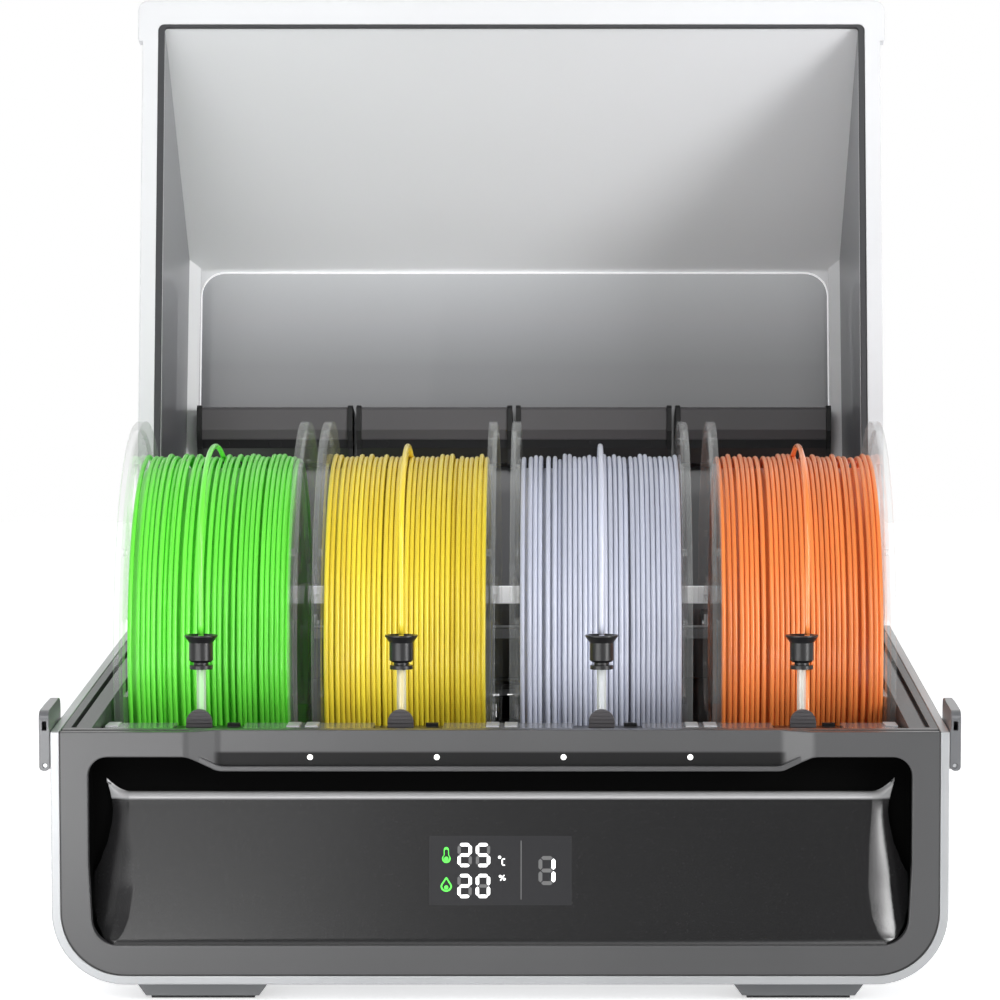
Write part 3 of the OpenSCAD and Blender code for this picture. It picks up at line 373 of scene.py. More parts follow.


def liner_material(name):
    """White front wall painted lighter low down and darker at its top as light and shade, and side walls
    painted dark grey as shade, told apart by their direction.
    """
    mat, tree, shader = new_material(name)
    low, high = node_box("lid_liner")
    rise = fraction(tree, along(tree, "Z"), low.z * MM, high.z * MM)
    # painted light and shade: the front wall runs from light low down to darker at its top, and the side
    # walls are painted dark, standing in for how light falls inside the lid
    panel = ramp(tree, rise, [(0.3, (0.93, 0.935, 0.95)), (1.0, (0.74, 0.75, 0.77))])
    side_wall_painted_shade = ramp(tree, rise, [(0.2, (0.10, 0.10, 0.11)), (0.75, (0.24, 0.245, 0.26)),
                              (1.0, (0.27, 0.275, 0.29))])
    sideways = math_node(tree, "ABSOLUTE", direction(tree, "X"), 0)
    pick = fraction(tree, sideways, WALL_FROM, WALL_FROM + 0.02)
    tree.links.new(mixed(tree, pick, panel, side_wall_painted_shade), shader.inputs["Base Color"])
    bumps(tree, shader, 500, 0.01)
    set_sockets(shader, Roughness=0.35, Coat_Weight=0.2)
    return mat


MATERIALS = {
    "case": plastic("satin_silver", (0.44, 0.45, 0.46), 0.34, edge=0.8, Metallic=0.35),
    "fascia": fascia_material("grey_fascia", (0.062, 0.062, 0.064), (0.003, 0.003, 0.003)),
    "panel": panel_material("dark_panel", (0.014, 0.014, 0.0145), (0.42, 0.42, 0.425)),
    "tray": plastic("tray_grey", (0.085, 0.087, 0.09), 0.42),
    "deck": plastic("deck_grey", (0.22, 0.225, 0.24), 0.25, coat=0.5),
    "white": plastic("white_plastic", (0.72, 0.73, 0.75), 0.3, edge=0.6, coat=0.3, spread=0.02),
    "frame": frame_material("frame_white", (0.72, 0.73, 0.75), (0.03, 0.03, 0.032)),
    "black": plastic("black_plastic", (0.012, 0.012, 0.013), 0.32, edge=0.25),
    "matt": plastic("matt_black_plastic", (0.008, 0.008, 0.0085), 0.6, edge=0.25),
    "tab": plastic("tab_grey", (0.085, 0.08, 0.085), 0.45, edge=0.2),
    "rubber": plastic("black_rubber", (0.02, 0.02, 0.021), 0.7, 600, 0.05),
    "gasket": plastic("gasket_rubber", (0.045, 0.046, 0.05), 0.6, 600, 0.04),
    "latch": plastic("latch_grey", (0.13, 0.133, 0.14), 0.3, 1500, 0.004, edge=0.5, coat=0.2,
                     spread=0.02),
    "foot": plastic("foot_grey", (0.13, 0.135, 0.14), 0.4, edge=0.4),
    "board": plastic("circuit_green", (0.02, 0.12, 0.05), 0.35),
    "lamp": glow("lamp_white", (0.95, 0.95, 0.92), 1.4),
    # painted light: the white seam round the window is given a faint glow though it is no lamp
    "seam": glow("seam_white_painted_glow", (0.95, 0.95, 0.97), 0.35),
    "lit": glow("display_lit_white", (1.0, 1.0, 1.0), 1.6),
    "unlit": glow("display_unlit_grey", (0.13, 0.13, 0.13), 0.25),
    "icon": glow("display_green", (0.10, 0.80, 0.08), 0.9),
    "glass": plastic("display_black_glass", (0.035, 0.035, 0.037), 0.16, 400, 0.002, edge=0.1, coat=0.6),
    "steel": metal("satin_steel", (0.62, 0.63, 0.65), 0.28, (40, 1, 1)),
    "bush": metal("sintered_bronze", (0.55, 0.38, 0.2), 0.45),
    "fins": metal("heater_aluminium", (0.72, 0.73, 0.75), 0.35),
    "shell": plastic("lid_silver", (0.62, 0.63, 0.65), 0.3, edge=1.2, coat=0.3, spread=0.02),
    "tube": clear("clear_tube", (0.93, 0.97, 0.90), 0.42, 0.7),
    "spool": clear("clear_plastic", (0.72, 0.75, 0.74), 0.05, 0.36),
    "smoke": clear("smoked_display", (0.012, 0.012, 0.013), 0.72, 0.9, 0.06),
    "window": window_material("smoked_window"),
    "liner": liner_material("liner_plastic"),
    "leads": lead_material("free_strands", [FILAMENT[k] for k in (1, 2, 3, 4)]),
}
for bay, tone in FILAMENT.items():
    MATERIALS["filament_%d" % bay] = filament_material("filament_%d_plastic" % bay, tone)

CAD_LOOKS = {
    "case": ["outer_shell"], "fascia": ["front_fascia"], "panel": ["front_panel"],
    "tray": ["spool_tray"], "deck": ["front_deck"], "frame": ["lid_frame"], "white": ["bay_guides"],
    "black": ["funnels", "fan_frame", "fan_rotor", "tube_outlets", "power_socket"]
        + ["feeder_%d" % k for k in (1, 2, 3, 4)],
    "matt": ["dry_box_caps"],
    "tab": ["release_tab_%d" % k for k in (1, 2, 3, 4)] + ["dry_box_%d" % k for k in (1, 2, 3, 4)],
    "rubber": ["foot_pads"] + ["%s_roller_%d" % (s, k) for s in ("front", "rear") for k in (1, 2, 3, 4)],
    "gasket": ["lid_gasket"], "latch": ["left_latch", "right_latch"], "foot": ["feet"],
    "board": ["display_board", "control_board"], "lamp": ["indicator_lenses"],
    "steel": ["case_screws", "hinge_pins", "latch_pins"], "bush": ["roller_bushes"],
    "fins": ["heater_block"], "shell": ["lid_shell"], "tube": ["guide_tubes"],
    "spool": ["spool_%d" % k for k in (1, 2, 3, 4)], "smoke": ["display_window"],
    "window": ["lid_window"], "liner": ["lid_liner"], "leads": ["filament_leads"],
}


def dress_cad():
    """Gives every CAD node its material, on the node's own mesh."""
    for look, nodes in CAD_LOOKS.items():
        for node in nodes:
            dress(bpy.data.objects[node], MATERIALS[look])
    for k in (1, 2, 3, 4):
        dress(bpy.data.objects["filament_%d" % k], MATERIALS["filament_%d" % k])


def dress(obj, mat):
    if not obj.material_slots:
        obj.data.materials.append(mat)
    for slot in obj.material_slots:
        slot.material = mat


# ---------------------------------------------------------------- mesh helpers

def piece_from(name, mesh_bm, look, body, smooth=True):
    """Turns a bmesh in millimetres behind the front face into a piece that rides."""
    for vert in mesh_bm.verts:
        vert.co = place(*vert.co)
    mesh = bpy.data.meshes.new(name)
    bmesh.ops.recalc_face_normals(mesh_bm, faces=mesh_bm.faces)
    mesh_bm.to_mesh(mesh)
    mesh_bm.free()
    obj = bpy.data.objects.new(name, mesh)
    bpy.context.scene.collection.objects.link(obj)
    for polygon in mesh.polygons:
        polygon.use_smooth = smooth
    mesh.materials.append(MATERIALS[look])
    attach(obj, body)
    return obj


def add_grid(bm, rows, wrap_rows=False, wrap_columns=False):
    """Faces over rows of points; either way round may be closed."""
    grid = [[bm.verts.new(point) for point in row] for row in rows]
    tall, wide = len(grid), len(grid[0])
    for i in range(tall if wrap_rows else tall - 1):
        for j in range(wide if wrap_columns else wide - 1):
            bm.faces.new((grid[i][j], grid[(i + 1) % tall][j],
                          grid[(i + 1) % tall][(j + 1) % wide], grid[i][(j + 1) % wide]))
    return grid


def add_tube(bm, path, radius, sides=8, closed=False):
    """A round tube of the given radius along a path of points in a Y-Z plane or near it."""
    rows = []
    count = len(path)
    for i, point in enumerate(path):
        ahead = path[(i + 1) % count] if closed or i < count - 1 else path[i]
        behind = path[i - 1] if closed or i > 0 else path[i]
        forward = (ahead - behind).normalized()
        across = Vector((1, 0, 0))
        up = forward.cross(across).normalized()
        across = up.cross(forward)
        rows.append([point + radius * (across * math.cos(a) + up * math.sin(a))
                     for a in (2 * math.pi * k / sides for k in range(sides))])
    grid = add_grid(bm, rows, closed, True)
    if not closed:
        bm.faces.new(grid[0])
        bm.faces.new(reversed(grid[-1]))


# ---------------------------------------------------------------- windings

STRAND_R = 1.03
TURN_PITCH = 2.17
GAP_SHARE = 0.3       # share of the turns that leave a gap beside them
GAP_W = (0.4, 1.4)    # narrowest and widest gap
CLOSE_W = (-0.06, 0.05)    # the same between turns that lie close
DEPTH_SPREAD = 0.4    # how much deeper some turns lie than others
DRIFT = 0.04          # most that a turn wanders sideways
LIFT_SHARE, LIFT = 0.3, 1.1    # turns that stand up at the top, and by how much
TOP_AT, TOP_WIDTH = 92, 9      # where they stand up, in degrees round the spool
UNDER_LAYER = 4.5     # depth of the layer under the turns
UNDER_THICK = 30      # its thickness
RING_STEPS = 128
UNDER_STEPS = 96


def ring_path(centre, radius, drift, phase, lift=0.0):
    """One turn round the spool, wandering sideways by drift."""
    path = []
    for k in range(RING_STEPS):
        a = 2 * math.pi * k / RING_STEPS
        near_top = math.exp(-((math.degrees(a) - TOP_AT) / TOP_WIDTH) ** 2)
        r = radius + lift * near_top
        path.append(centre + Vector((drift * math.sin(a + phase), -r * math.cos(a), r * math.sin(a))))
    return path


def winding(bay):
    """Turns of filament over a deeper layer, as they lie after winding by machine."""
    rng = random.Random(bay)
    low, high = node_box("filament_%d" % bay)
    centre = (low + high) / 2
    outer = (high.z - low.z) / 2 - STRAND_R
    half = (high.x - low.x) / 2 - STRAND_R
    gaps = [0.0]
    while sum(gaps) + TURN_PITCH * len(gaps) < 2 * half:
        gaps.append(rng.uniform(*GAP_W) if rng.random() < GAP_SHARE else rng.uniform(*CLOSE_W))
    count = len(gaps) - 1
    spare = 2 * half / (sum(gaps) + TURN_PITCH * count)
    bm = bmesh.new()
    for k in range(count + 1):
        x = -half + spare * (sum(gaps[:k + 1]) + TURN_PITCH * k)
        radius = outer - abs(rng.gauss(0, DEPTH_SPREAD))
        spot = centre + Vector((x, 0, 0))
        lift = LIFT if rng.random() < LIFT_SHARE else 0
        drift, phase = rng.uniform(-DRIFT, DRIFT), rng.uniform(0, 6.28)
        add_tube(bm, ring_path(spot, radius, drift, phase, lift), STRAND_R, 8, True)
    under = outer - UNDER_LAYER
    core = under - UNDER_THICK
    rows = []
    for k in range(UNDER_STEPS):
        a = 2 * math.pi * k / UNDER_STEPS
        rows.append([centre + Vector((x, r * math.cos(a), r * math.sin(a)))
                     for x, r in ((-half, core), (-half, under), (half, under), (half, core))])
    add_grid(bm, rows, True, True)
    obj = piece_from("wound_filament_%d" % bay, bm, "filament_%d" % bay, "spool_%d" % bay)
    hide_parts("filament_%d" % bay)


# Corners (y, z) of a strand's curved way from the top of its winding to its funnel
ARCH = ((158, 219), (115, 234), (42, 230), (40, 178))
ARCH_STEPS = 32
LEAD_LOW = 60         # the strands end here, inside their tubes
LEAD_R = 1.15
LEAD_SIDES = 10


def free_strands():
    """Strands that rise off the windings, arch forward and drop into the funnels."""
    mouth = node_box("funnels")[1].z
    foot_y, foot_z = ARCH[-1]
    arches, runs = bmesh.new(), bmesh.new()
    for bay in (1, 2, 3, 4):
        wound_low, wound_high = node_box("filament_%d" % bay)
        x = (wound_low.x + wound_high.x) / 2
        path = []
        for k in range(ARCH_STEPS + 1):
            t = k / ARCH_STEPS
            weights = ((1 - t) ** 3, 3 * t * (1 - t) ** 2, 3 * t * t * (1 - t), t ** 3)
            path.append(Vector((x, sum(w * y for w, (y, _) in zip(weights, ARCH)),
                                sum(w * z for w, (_, z) in zip(weights, ARCH)))))
        path += [Vector((x, foot_y, mouth + (foot_z - mouth) * (1 - k / 6))) for k in range(1, 7)]
        add_tube(arches, path, LEAD_R, LEAD_SIDES)
        run = [Vector((x, foot_y, z)) for z in (mouth, (mouth + LEAD_LOW) / 2, LEAD_LOW)]
        add_tube(runs, run, LEAD_R, LEAD_SIDES)
    piece = piece_from("free_strands", arches, "leads", "housing")
    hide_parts("filament_leads")
    piece_from("strands_in_tubes", runs, "leads", "housing")
    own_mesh(piece)


# ---------------------------------------------------------------- front panel

PANEL_LEAN = math.radians(10)
PANEL_NOSE = 3.2      # radius of the lip
# Edges of a swollen end, as (share of the panel's height, distance from the middle)
END_INNER = [(0, 160), (0.08, 156), (0.19, 153.5), (0.37, 152.1), (0.61, 152.7), (0.94, 154.2),
             (1, 154.4)]
END_OUTER = [(0, 161.5), (0.035, 164.4), (0.13, 167.8), (0.25, 169.4), (0.44, 169.6), (0.55, 166.2),
             (0.68, 163.2), (0.81, 161.5), (0.94, 161.0), (1, 161.4)]
# How fast the left and right end fall back at their inner edge, and what they gain on the way out
END_SLOPE = {-1: (0.40, 0.20), 1: (0.27, 0.18)}
# Places across an end: the first lies on the flat face, and the last turns back into the recess
END_STEPS = [-0.03, 0, 0.03, 0.1, 0.2, 0.3, 0.4, 0.5, 0.6, 0.7, 0.8, 0.9, 0.98, 1, 1.001]
HORN_RISE = 5.6       # how far the lip curls up at its ends
HORN_REACH = 2.6      # how far it curls out there
HORN_FROM = 0.88      # share of the panel's height where the curl starts
FACE_BACK = 0.8       # from the front of the body to the foot of the leaning face
PANEL_WALL = 1.2


def on_panel(x, up, out=0.0):
    """A point on the leaning face: up along it, and out of it towards the front."""
    low, _ = node_box("front_panel")
    lean, rise = math.sin(PANEL_LEAN), math.cos(PANEL_LEAN)
    return Vector((x, FACE_BACK + up * lean - out * rise, low.z + up * rise + out * lean))


def smooth(t):
    """From 0 to 1 with a soft start and end."""
    t = min(1.0, max(0.0, t))
    return t * t * (3 - 2 * t)


def blend_of(table, at):
    """Value at a place between the rows of a table, with soft turns at the rows."""
    for (start, first), (end, last) in zip(table, table[1:]):
        if at <= end:
            share = (at - start) / (end - start)
            return first + (last - first) * (0.5 * smooth(share) + 0.5 * share)
    return table[-1][1]


def front_panel():
    """Leaning face with a rolled lip, and ends that swell and turn back into the recess."""
    low, high = node_box("front_panel")
    back = high.y
    tall = (high.z - low.z) / math.cos(PANEL_LEAN)
    section = [on_panel(0, tall * k / 24) for k in range(23)]
    centre = on_panel(0, tall - PANEL_NOSE, -PANEL_NOSE)
    for k in range(9):
        a = math.radians(-PANEL_LEAN + 90 * k / 8)
        section.append(centre + PANEL_NOSE * Vector((0, -math.cos(a), math.sin(a))))
    section.append(Vector((0, back, section[-1].z + 0.3)))
    rows = []
    for point in section:
        height = (point.z - low.z) / (high.z - low.z)
        rows.append([end_point(point, -1, t, back, height) for t in reversed(END_STEPS)]
                    + [end_point(point, 1, t, back, height) for t in END_STEPS])
    bm = bmesh.new()
    add_grid(bm, rows)
    obj = piece_from("leaning_panel", bm, "panel", "housing")
    thicken(obj, PANEL_WALL)
    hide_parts("front_panel")


def end_point(point, side, t, back, height):
    """A point of the swollen end on one side (-1 or 1), at t across it."""
    inner, outer = blend_of(END_INNER, height), blend_of(END_OUTER, height)
    across = min(t, 1.0)
    first, gain = END_SLOPE[side]
    deep = point.y + (outer - inner) * max(0.0, first * across + gain * across * across / 2)
    if t > 1:
        deep = back
    horn = smooth((height - HORN_FROM) / (1 - HORN_FROM)) * max(0.0, across) ** 2.4
    return Vector((side * (inner + (outer - inner) * across + HORN_REACH * horn), min(deep, back),
                   point.z + HORN_RISE * horn))


def thicken(obj, depth):
    """Gives a sheet its wall, on the side away from its normals."""
    solid = obj.modifiers.new("wall", "SOLIDIFY")
    solid.thickness = depth * MM
    solid.offset = -1
    apply_modifiers(obj)


def apply_modifiers(obj):
    graph = bpy.context.evaluated_depsgraph_get()
    mesh = bpy.data.meshes.new_from_object(obj.evaluated_get(graph))
    old = obj.data
    obj.modifiers.clear()
    obj.data = mesh
    bpy.data.meshes.remove(old)


# ---------------------------------------------------------------- display

SEGMENTS = {     # ends of each bar of a digit, in half widths and half heights
    "a": ((-1, 1), (1, 1)), "b": ((1, 1), (1, 0)), "c": ((1, 0), (1, -1)), "d": ((-1, -1), (1, -1)),
    "e": ((-1, 0), (-1, -1)), "f": ((-1, 1), (-1, 0)), "g": ((-1, 0), (1, 0))}
LIT = {"0": "abcdef", "1": "bc", "2": "abged", "5": "afgcd"}
ROW_UP = 6.4          # the two rows, above and below the middle of the display
ICON_AT, DIGIT_AT, MARK_AT, DIVIDER_AT, COUNT_AT = -22.4, -14.8, 0.6, 8.6, 19.3
DIGIT_PITCH = 7.6
GLASS_OUT = 0.12      # the display glass stands this far out of the panel
INK_OUT = 0.2


def add_patch(bm, outline):
    """A flat shape on the display, from points (x, up)."""
    bm.faces.new([bm.verts.new(on_panel(x, up, INK_OUT)) for x, up in outline])


def add_bar(bm, start, end, half):
    """A bar with pointed ends, between two corners of a digit."""
    start, end = Vector(start), Vector(end)
    along_bar = (end - start).normalized()
    side = Vector((-along_bar.y, along_bar.x)) * half
    a, b = start + along_bar * half * 0.35, end - along_bar * half * 0.35
    add_patch(bm, [a, a + along_bar * half + side, b - along_bar * half + side, b,
                   b - along_bar * half - side, a + along_bar * half - side])


def digit(bms, number, x, up, half_w, half_h, stroke):
    """The seven bars of a digit, each in the mesh of the lit or of the unlit bars."""
    for name, (start, end) in SEGMENTS.items():
        bm = bms["lit" if name in LIT[number] else "unlit"]
        add_bar(bm, (x + start[0] * half_w, up + start[1] * half_h),
                (x + end[0] * half_w, up + end[1] * half_h), stroke / 2)


def disc(x, up, radius, sides=20):
    """Outline of a round spot."""
    return [(x + radius * math.cos(2 * math.pi * k / sides), up + radius * math.sin(2 * math.pi * k / sides))
            for k in range(sides)]


def add_ring(bm, outline, inner):
    """A line drawn round a shape, from its outline to a smaller copy of it."""
    outer = [bm.verts.new(on_panel(x, up, INK_OUT)) for x, up in outline]
    inside = [bm.verts.new(on_panel(x, up, INK_OUT)) for x, up in inner]
    for k in range(len(outer)):
        n = (k + 1) % len(outer)
        bm.faces.new((outer[k], outer[n], inside[n], inside[k]))


def thermometer(x, up, size):
    """Outline of a bulb with a stem."""
    stem, bulb = 0.16 * size, 0.27 * size
    join = math.asin(stem / bulb)
    points = []
    for k in range(17):
        a = math.pi / 2 + join + (2 * math.pi - 2 * join) * k / 16
        points.append((x + bulb * math.cos(a), up - 0.23 * size + bulb * math.sin(a)))
    for k in range(9):
        a = math.pi * k / 8
        points.append((x + stem * math.cos(a), up + 0.34 * size + stem * math.sin(a)))
    return points


def drop(x, up, size):
    """Outline of a drop of water with its tip up."""
    points = []
    for k in range(24):
        a = 2 * math.pi * k / 24
        taper = 1 + 0.55 * max(0.0, math.sin(a)) ** 6
        points.append((x + 0.36 * size * math.cos(a) * (1 - 0.25 * max(0, math.sin(a))),
                       up + 0.36 * size * math.sin(a) * taper))
    return points


def shrink(outline, centre, factor):
    mid_x, mid_up = centre
    return [(mid_x + (x - mid_x) * factor, mid_up + (up - mid_up) * factor) for x, up in outline]


def display():
    """Black glass with two icons, three numbers and their unit marks."""
    low, high = node_box("display_window")
    half_w = (high.x - low.x) / 2
    panel_low, _ = node_box("front_panel")
    mid = ((low.z + high.z) / 2 - panel_low.z) / math.cos(PANEL_LEAN)
    half_h = (high.z - low.z) / 2 / math.cos(PANEL_LEAN)
    bm = bmesh.new()
    glass = [(sx * half_w, mid + sy * half_h) for sx, sy in ((-1, -1), (1, -1), (1, 1), (-1, 1))]
    front = [bm.verts.new(on_panel(x, up, GLASS_OUT)) for x, up in glass]
    rear = [bm.verts.new(on_panel(x, up, -0.5)) for x, up in glass]
    bm.faces.new(front)
    bm.faces.new(reversed(rear))
    for k in range(4):
        bm.faces.new((front[k], rear[k], rear[(k + 1) % 4], front[(k + 1) % 4]))
    plate = piece_from("display_glass", bm, "glass", "housing", False)
    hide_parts("display_window")
    bms = {"lit": bmesh.new(), "unlit": bmesh.new()}
    icons = bmesh.new()
    rows = ((mid + ROW_UP, "25", thermometer), (mid - ROW_UP, "20", drop))
    for up, number, icon in rows:
        for k, figure in enumerate(number):
            digit(bms, figure, DIGIT_AT + DIGIT_PITCH * k, up, 2.3, 4.3, 1.35)
        outline = icon(ICON_AT, up, 6.6)
        add_ring(icons, outline, shrink(outline, (ICON_AT, up), 0.72))
        add_patch(icons, disc(ICON_AT, up - (1.5 if icon is thermometer else 0.6), 0.85))
    digit(bms, "1", COUNT_AT, mid, 2.7, 5.2, 1.6)
    add_patch(bms["unlit"], [(DIVIDER_AT + dx, mid + up) for dx, up in
                             ((-0.2, -12), (0.2, -12), (0.2, 12.4), (-0.2, 12.4))])
    ring = disc(MARK_AT - 0.9, mid + ROW_UP - 0.9, 0.62)
    add_ring(bms["lit"], ring, shrink(ring, (MARK_AT - 0.9, mid + ROW_UP - 0.9), 0.5))
    add_bar(bms["lit"], (MARK_AT + 0.2, mid + ROW_UP - 1.6), (MARK_AT + 0.2, mid + ROW_UP - 4.2), 0.24)
    add_bar(bms["lit"], (MARK_AT + 0.2, mid + ROW_UP - 4.2), (MARK_AT + 1.5, mid + ROW_UP - 4.2), 0.24)
    add_bar(bms["lit"], (MARK_AT + 0.2, mid + ROW_UP - 1.6), (MARK_AT + 1.5, mid + ROW_UP - 1.6), 0.24)
    share = mid - ROW_UP + 3.4
    for dx, dy in ((-0.85, 0.6), (0.85, -0.6)):
        dot = disc(MARK_AT + 0.2 + dx, share + dy, 0.55)
        add_ring(bms["lit"], dot, shrink(dot, (MARK_AT + 0.2 + dx, share + dy), 0.45))
    add_bar(bms["lit"], (MARK_AT - 0.7, share - 1.3), (MARK_AT + 1.1, share + 1.3), 0.2)
    piece_from("display_lit", bms["lit"], "lit", "housing", False)
    piece_from("display_unlit", bms["unlit"], "unlit", "housing", False)
    piece_from("display_icons", icons, "icon", "housing", False)


# ---------------------------------------------------------------- lid

TOP_TILT = math.radians(1.93)     # slope of the lid's top panel when closed
WINDOW_START = 1.5                # from the crease to the window's edge
WINDOW_T = 2.0


def lid_frame_of_panel():
    """Corner of the top panel at its crease, with the ways along it and out of it."""
    joint = next(j for j in frame["joints"] if j["name"] == "lid_hinge")
    lean = math.radians(joint["range_deg"][1]) - TOP_TILT
    along_panel = Vector((0, math.cos(lean), -math.sin(lean)))
    into_room = Vector((0, -math.sin(lean), -math.cos(lean)))
    low, high = node_box("lid_window")
    length = (high.z - low.z - WINDOW_T * into_room.z) / math.sin(lean)
    start = Vector((0, low.y, high.z)) - length * Vector((0, along_panel.y, 0))
    return start - WINDOW_START * along_panel, along_panel, into_room


def on_lid(x, down, out):
    """A point on the lid's top panel: down it from its crease, and out of it into the box."""
    crease, along_panel, into_room = lid_frame_of_panel()
    return crease + Vector((x, 0, 0)) + down * along_panel + out * into_room


DRY_START = 77.0      # from the crease to the boxes
# Sections of a desiccant box, as (way along the lid, way out of it)
DRY_SECTION = [(0.0, 0.2), (0.0, 17.0), (0.6, 18.4), (1.6, 19.0), (12.2, 19.0), (12.9, 18.75),
               (16.6, 17.2), (17.2, 16.6)]
VENT_SECTION = [(16.8, 16.4), (21.0, 13.2), (28.5, 11.2), (28.5, 0.2)]
VENT_GAP = 27.0
VENT_RING = [(3.4, 0.0), (3.4, 0.7), (2.6, 0.7), (2.6, 0.1)]    # section, as (radius, height)
VENT_FLAT = 0.7       # height of a ring over its width
EDGE_SOFT = 0.25


def dry_box(number):
    """Cover of a desiccant box, and its vented face."""
    low, high = node_box("dry_box_%d" % number)
    cover = extrusion(low.x, high.x, DRY_SECTION)
    piece = piece_from("desiccant_cover_%d" % number, cover, "tab", "lid", False)
    soften(piece, EDGE_SOFT)
    vents = extrusion(low.x, high.x, VENT_SECTION)
    middle = (low.x + high.x) / 2
    for k in (-1, 0, 1):
        add_vent(vents, middle + k * VENT_GAP)
    piece_from("desiccant_vents_%d" % number, vents, "black", "lid", False)
    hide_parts("dry_box_%d" % number)


def extrusion(left, right, section):
    """A closed bar with the given section, across the lid."""
    bm = bmesh.new()
    rows = [[on_lid(x, DRY_START + down, out) for x in (left, right)] for down, out in section]
    grid = add_grid(bm, rows)
    bm.faces.new([row[0] for row in grid])
    bm.faces.new([row[1] for row in reversed(grid)])
    bm.faces.new((grid[0][0], grid[0][1], grid[-1][1], grid[-1][0]))
    return bm


def add_vent(bm, x):
    """A raised ring on the sloping face that looks down into the spools."""
    first, last = Vector(VENT_SECTION[0]), Vector(VENT_SECTION[1])
    middle, slope = (first + last) / 2, (last - first).normalized()
    proud = Vector((-slope.y, slope.x)) * -1
    rings = []
    for radius, lift in VENT_RING:
        ring = []
        for k in range(20):
            a = 2 * math.pi * k / 20
            spot = middle + slope * radius * math.sin(a) * VENT_FLAT + proud * lift
            ring.append(on_lid(x + radius * math.cos(a), DRY_START + spot.x, spot.y))
        rings.append(ring)
    add_grid(bm, rings, False, True)


def soften(obj, width):
    """Rounds the sharp edges of a piece."""
    bevel = obj.modifiers.new("soft", "BEVEL")
    bevel.width = width * MM
    bevel.segments = 2
    bevel.limit_method = "ANGLE"
    bevel.angle_limit = math.radians(25)
    apply_modifiers(obj)


def rounded_rectangle(half_w, start, end, radius, steps=8):
    """Outline of a rectangle about the middle, from start to end, with round corners."""
    points = []
    for cx, cy, first in ((half_w - radius, end - radius, 0), (-half_w + radius, end - radius, 90),
                          (-half_w + radius, start + radius, 180), (half_w - radius, start + radius, 270)):
        for k in range(steps + 1):
            a = math.radians(first + 90 * k / steps)
            points.append((cx + radius * math.cos(a), cy + radius * math.sin(a)))
    return points


WINDOW_CORNER = 12.3
SEAM_R = 0.45


def window_line():
    """White seam round the smoked window, with a faint painted glow."""
    low, high = node_box("lid_window")
    _, along_panel, _ = lid_frame_of_panel()
    end = WINDOW_START + (high.z - low.z) / abs(along_panel.z) - 0.5
    outline = rounded_rectangle(high.x, WINDOW_START, end, WINDOW_CORNER)
    bm = bmesh.new()
    path = [on_lid(x, down, 0.0) for x, down in outline]
    count = len(path)
    out = on_lid(0, 0, 1) - on_lid(0, 0, 0)
    rows = []
    for k, point in enumerate(path):
        forward = (path[(k + 1) % count] - path[k - 1]).normalized()
        side = forward.cross(out).normalized()
        rows.append([point + SEAM_R * (side * math.cos(a) + out * math.sin(a))
                     for a in (2 * math.pi * j / 8 for j in range(8))])
    add_grid(bm, rows, True, True)
    piece_from("window_seam", bm, "seam", "lid")


# ---------------------------------------------------------------- stage, light, camera

FOCAL_PX = 3946.36          # focal length in pixels of the photograph's frame
PRINCIPAL_PX = (566.67, 603.0)
FRAME_PX = 1000
SENSOR = 36.0
CAMERA_AT = (27.49, -1617.8, 279.0)
CAMERA_TILT = 0.07


def add_camera():
    data = bpy.data.cameras.new("camera")
    data.sensor_width = SENSOR
    data.lens = FOCAL_PX / FRAME_PX * SENSOR
    data.shift_x = (FRAME_PX / 2 - PRINCIPAL_PX[0]) / FRAME_PX
    data.shift_y = (PRINCIPAL_PX[1] - FRAME_PX / 2) / FRAME_PX
    data.clip_start, data.clip_end = 0.05, 50
    camera = bpy.data.objects.new("camera", data)
    camera.location = place(*CAMERA_AT)
    camera.rotation_euler = (math.pi / 2 - CAMERA_TILT, 0, 0)
    bpy.context.scene.collection.objects.link(camera)
    bpy.context.scene.camera = camera


def area_light(name, at, target, width, height, power):
    data = bpy.data.lights.new(name, "AREA")
    data.shape = "RECTANGLE"
    data.size, data.size_y = width, height
    data.energy = power
    lamp = bpy.data.objects.new(name, data)
    lamp.location = at
    lamp.rotation_mode = "QUATERNION"
    lamp.rotation_quaternion = (Vector(target) - Vector(at)).to_track_quat("-Z", "Y")
    bpy.context.scene.collection.objects.link(lamp)


FLOOR_REACH = 4000
FLOOR_GLOW = 0.3      # light that the floor gives to the object
FLOOR_WHITE = 0.55    # what the camera sees, so that the floor is as white as the backdrop
# Name, place, aim (in metres), width, height (in metres) and power of each lamp
LAMPS = [
    ("key", (-0.58, -2.1, 0.80), (0, 0, 0.1), 0.86, 1.5, 3.6),
    ("edge", (1.75, -1.45, 0.5), (0.1, -0.25, 0.05), 0.75, 1.0, 31),
    ("high", (-0.1, -2.0, 1.5), (0, 0, 0.3), 1.6, 0.8, 13.5),
    ("low", (-0.55, -1.0, 0.07), (0, 0.1, 0.2), 0.8, 0.14, 1.8),
    ("near", (-0.32, -0.62, 0.04), (-0.1, 0, 0.06), 0.4, 0.08, 0.22),
]


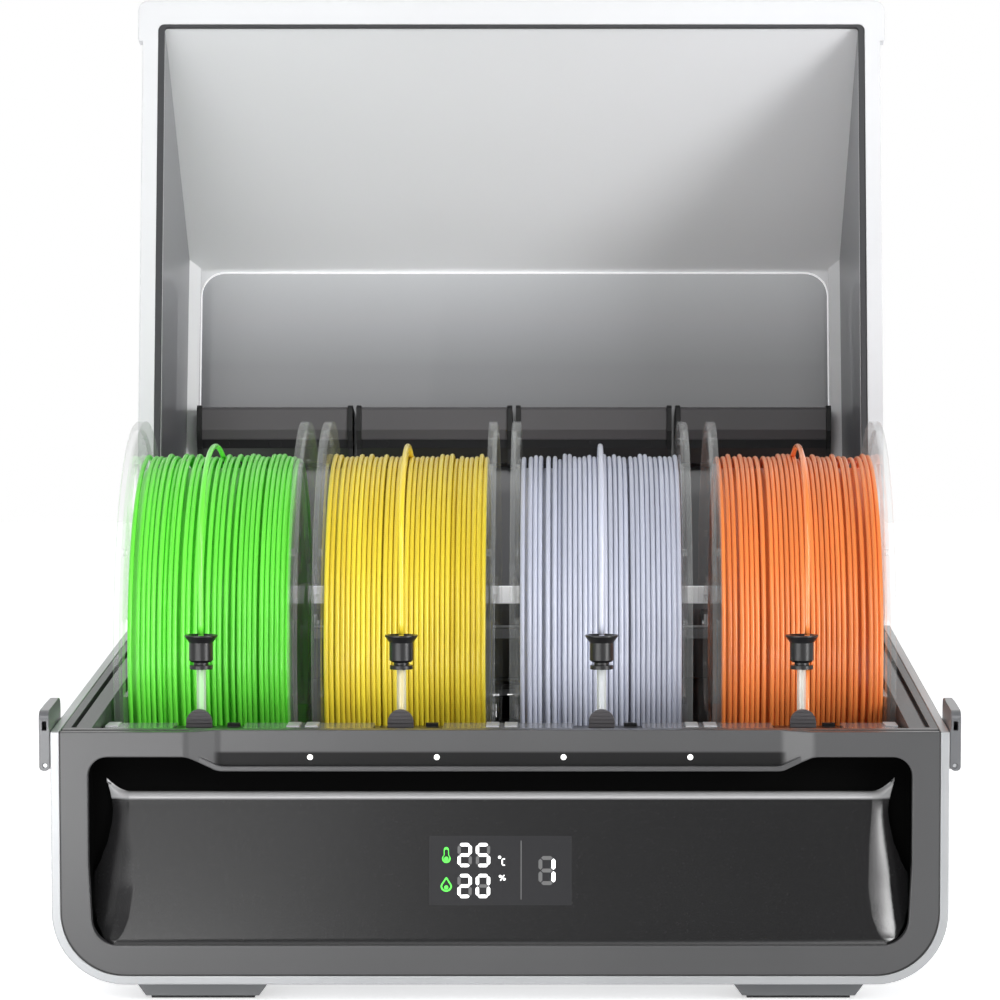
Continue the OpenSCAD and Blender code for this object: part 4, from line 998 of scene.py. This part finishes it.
def add_stage():
    """White floor just under the feet, and the lights."""
    bm = bmesh.new()
    ends = (-FLOOR_REACH, FLOOR_REACH)
    add_grid(bm, [[(x, y, -0.2) for x in ends] for y in ends])
    for vert in bm.verts:
        vert.co = place(*vert.co)
    mesh = bpy.data.meshes.new("floor")
    bm.to_mesh(mesh)
    bm.free()
    floor = bpy.data.objects.new("floor", mesh)
    bpy.context.scene.collection.objects.link(floor)
    mat, tree, shader = new_material("floor_white")
    set_sockets(shader, Base_Color=(0.93, 0.93, 0.94, 1), Roughness=0.6, Emission_Color=(1, 1, 1, 1))
    seen = tree.nodes.new("ShaderNodeLightPath")
    strength = scaled(tree, seen.outputs["Is Camera Ray"], FLOOR_GLOW, FLOOR_WHITE)
    tree.links.new(strength, shader.inputs["Emission Strength"])
    mesh.materials.append(mat)
    bpy.context.scene.view_settings.view_transform = "Standard"
    studio_light()
    for lamp in LAMPS:
        area_light(*lamp)


LIGHT_FROM = (-0.55, 0.80, 0.25)    # the brightest way into the studio


def studio_light():
    """White wherever it is looked at. As light, it is brightest beyond the object and to its left."""
    world = bpy.data.worlds.new("studio")
    bpy.context.scene.world = world
    world.use_nodes = True
    tree = world.node_tree
    coords = tree.nodes.new("ShaderNodeTexCoord")
    facing = tree.nodes.new("ShaderNodeVectorMath")
    facing.operation = "DOT_PRODUCT"
    facing.inputs[1].default_value = LIGHT_FROM
    tree.links.new(coords.outputs["Generated"], facing.inputs[0])
    spread = fraction(tree, facing.outputs["Value"], -1, 1)
    sky = ramp(tree, spread, [(0.1, (0.03, 0.03, 0.03)), (0.5, (0.10, 0.10, 0.105)),
                              (0.80, (1.05, 1.05, 1.05))])
    seen = tree.nodes.new("ShaderNodeLightPath")
    shown = math_node(tree, "MAXIMUM", seen.outputs["Is Camera Ray"], seen.outputs["Is Transmission Ray"])
    colours = mixed(tree, shown, sky, (1.0, 1.0, 1.0))
    tree.links.new(colours, tree.nodes["Background"].inputs["Color"])


add_camera()
dress_cad()
for bay in (1, 2, 3, 4):
    winding(bay)
free_strands()
front_panel()
display()
for number in (1, 2, 3, 4):
    dry_box(number)
window_line()
add_stage()
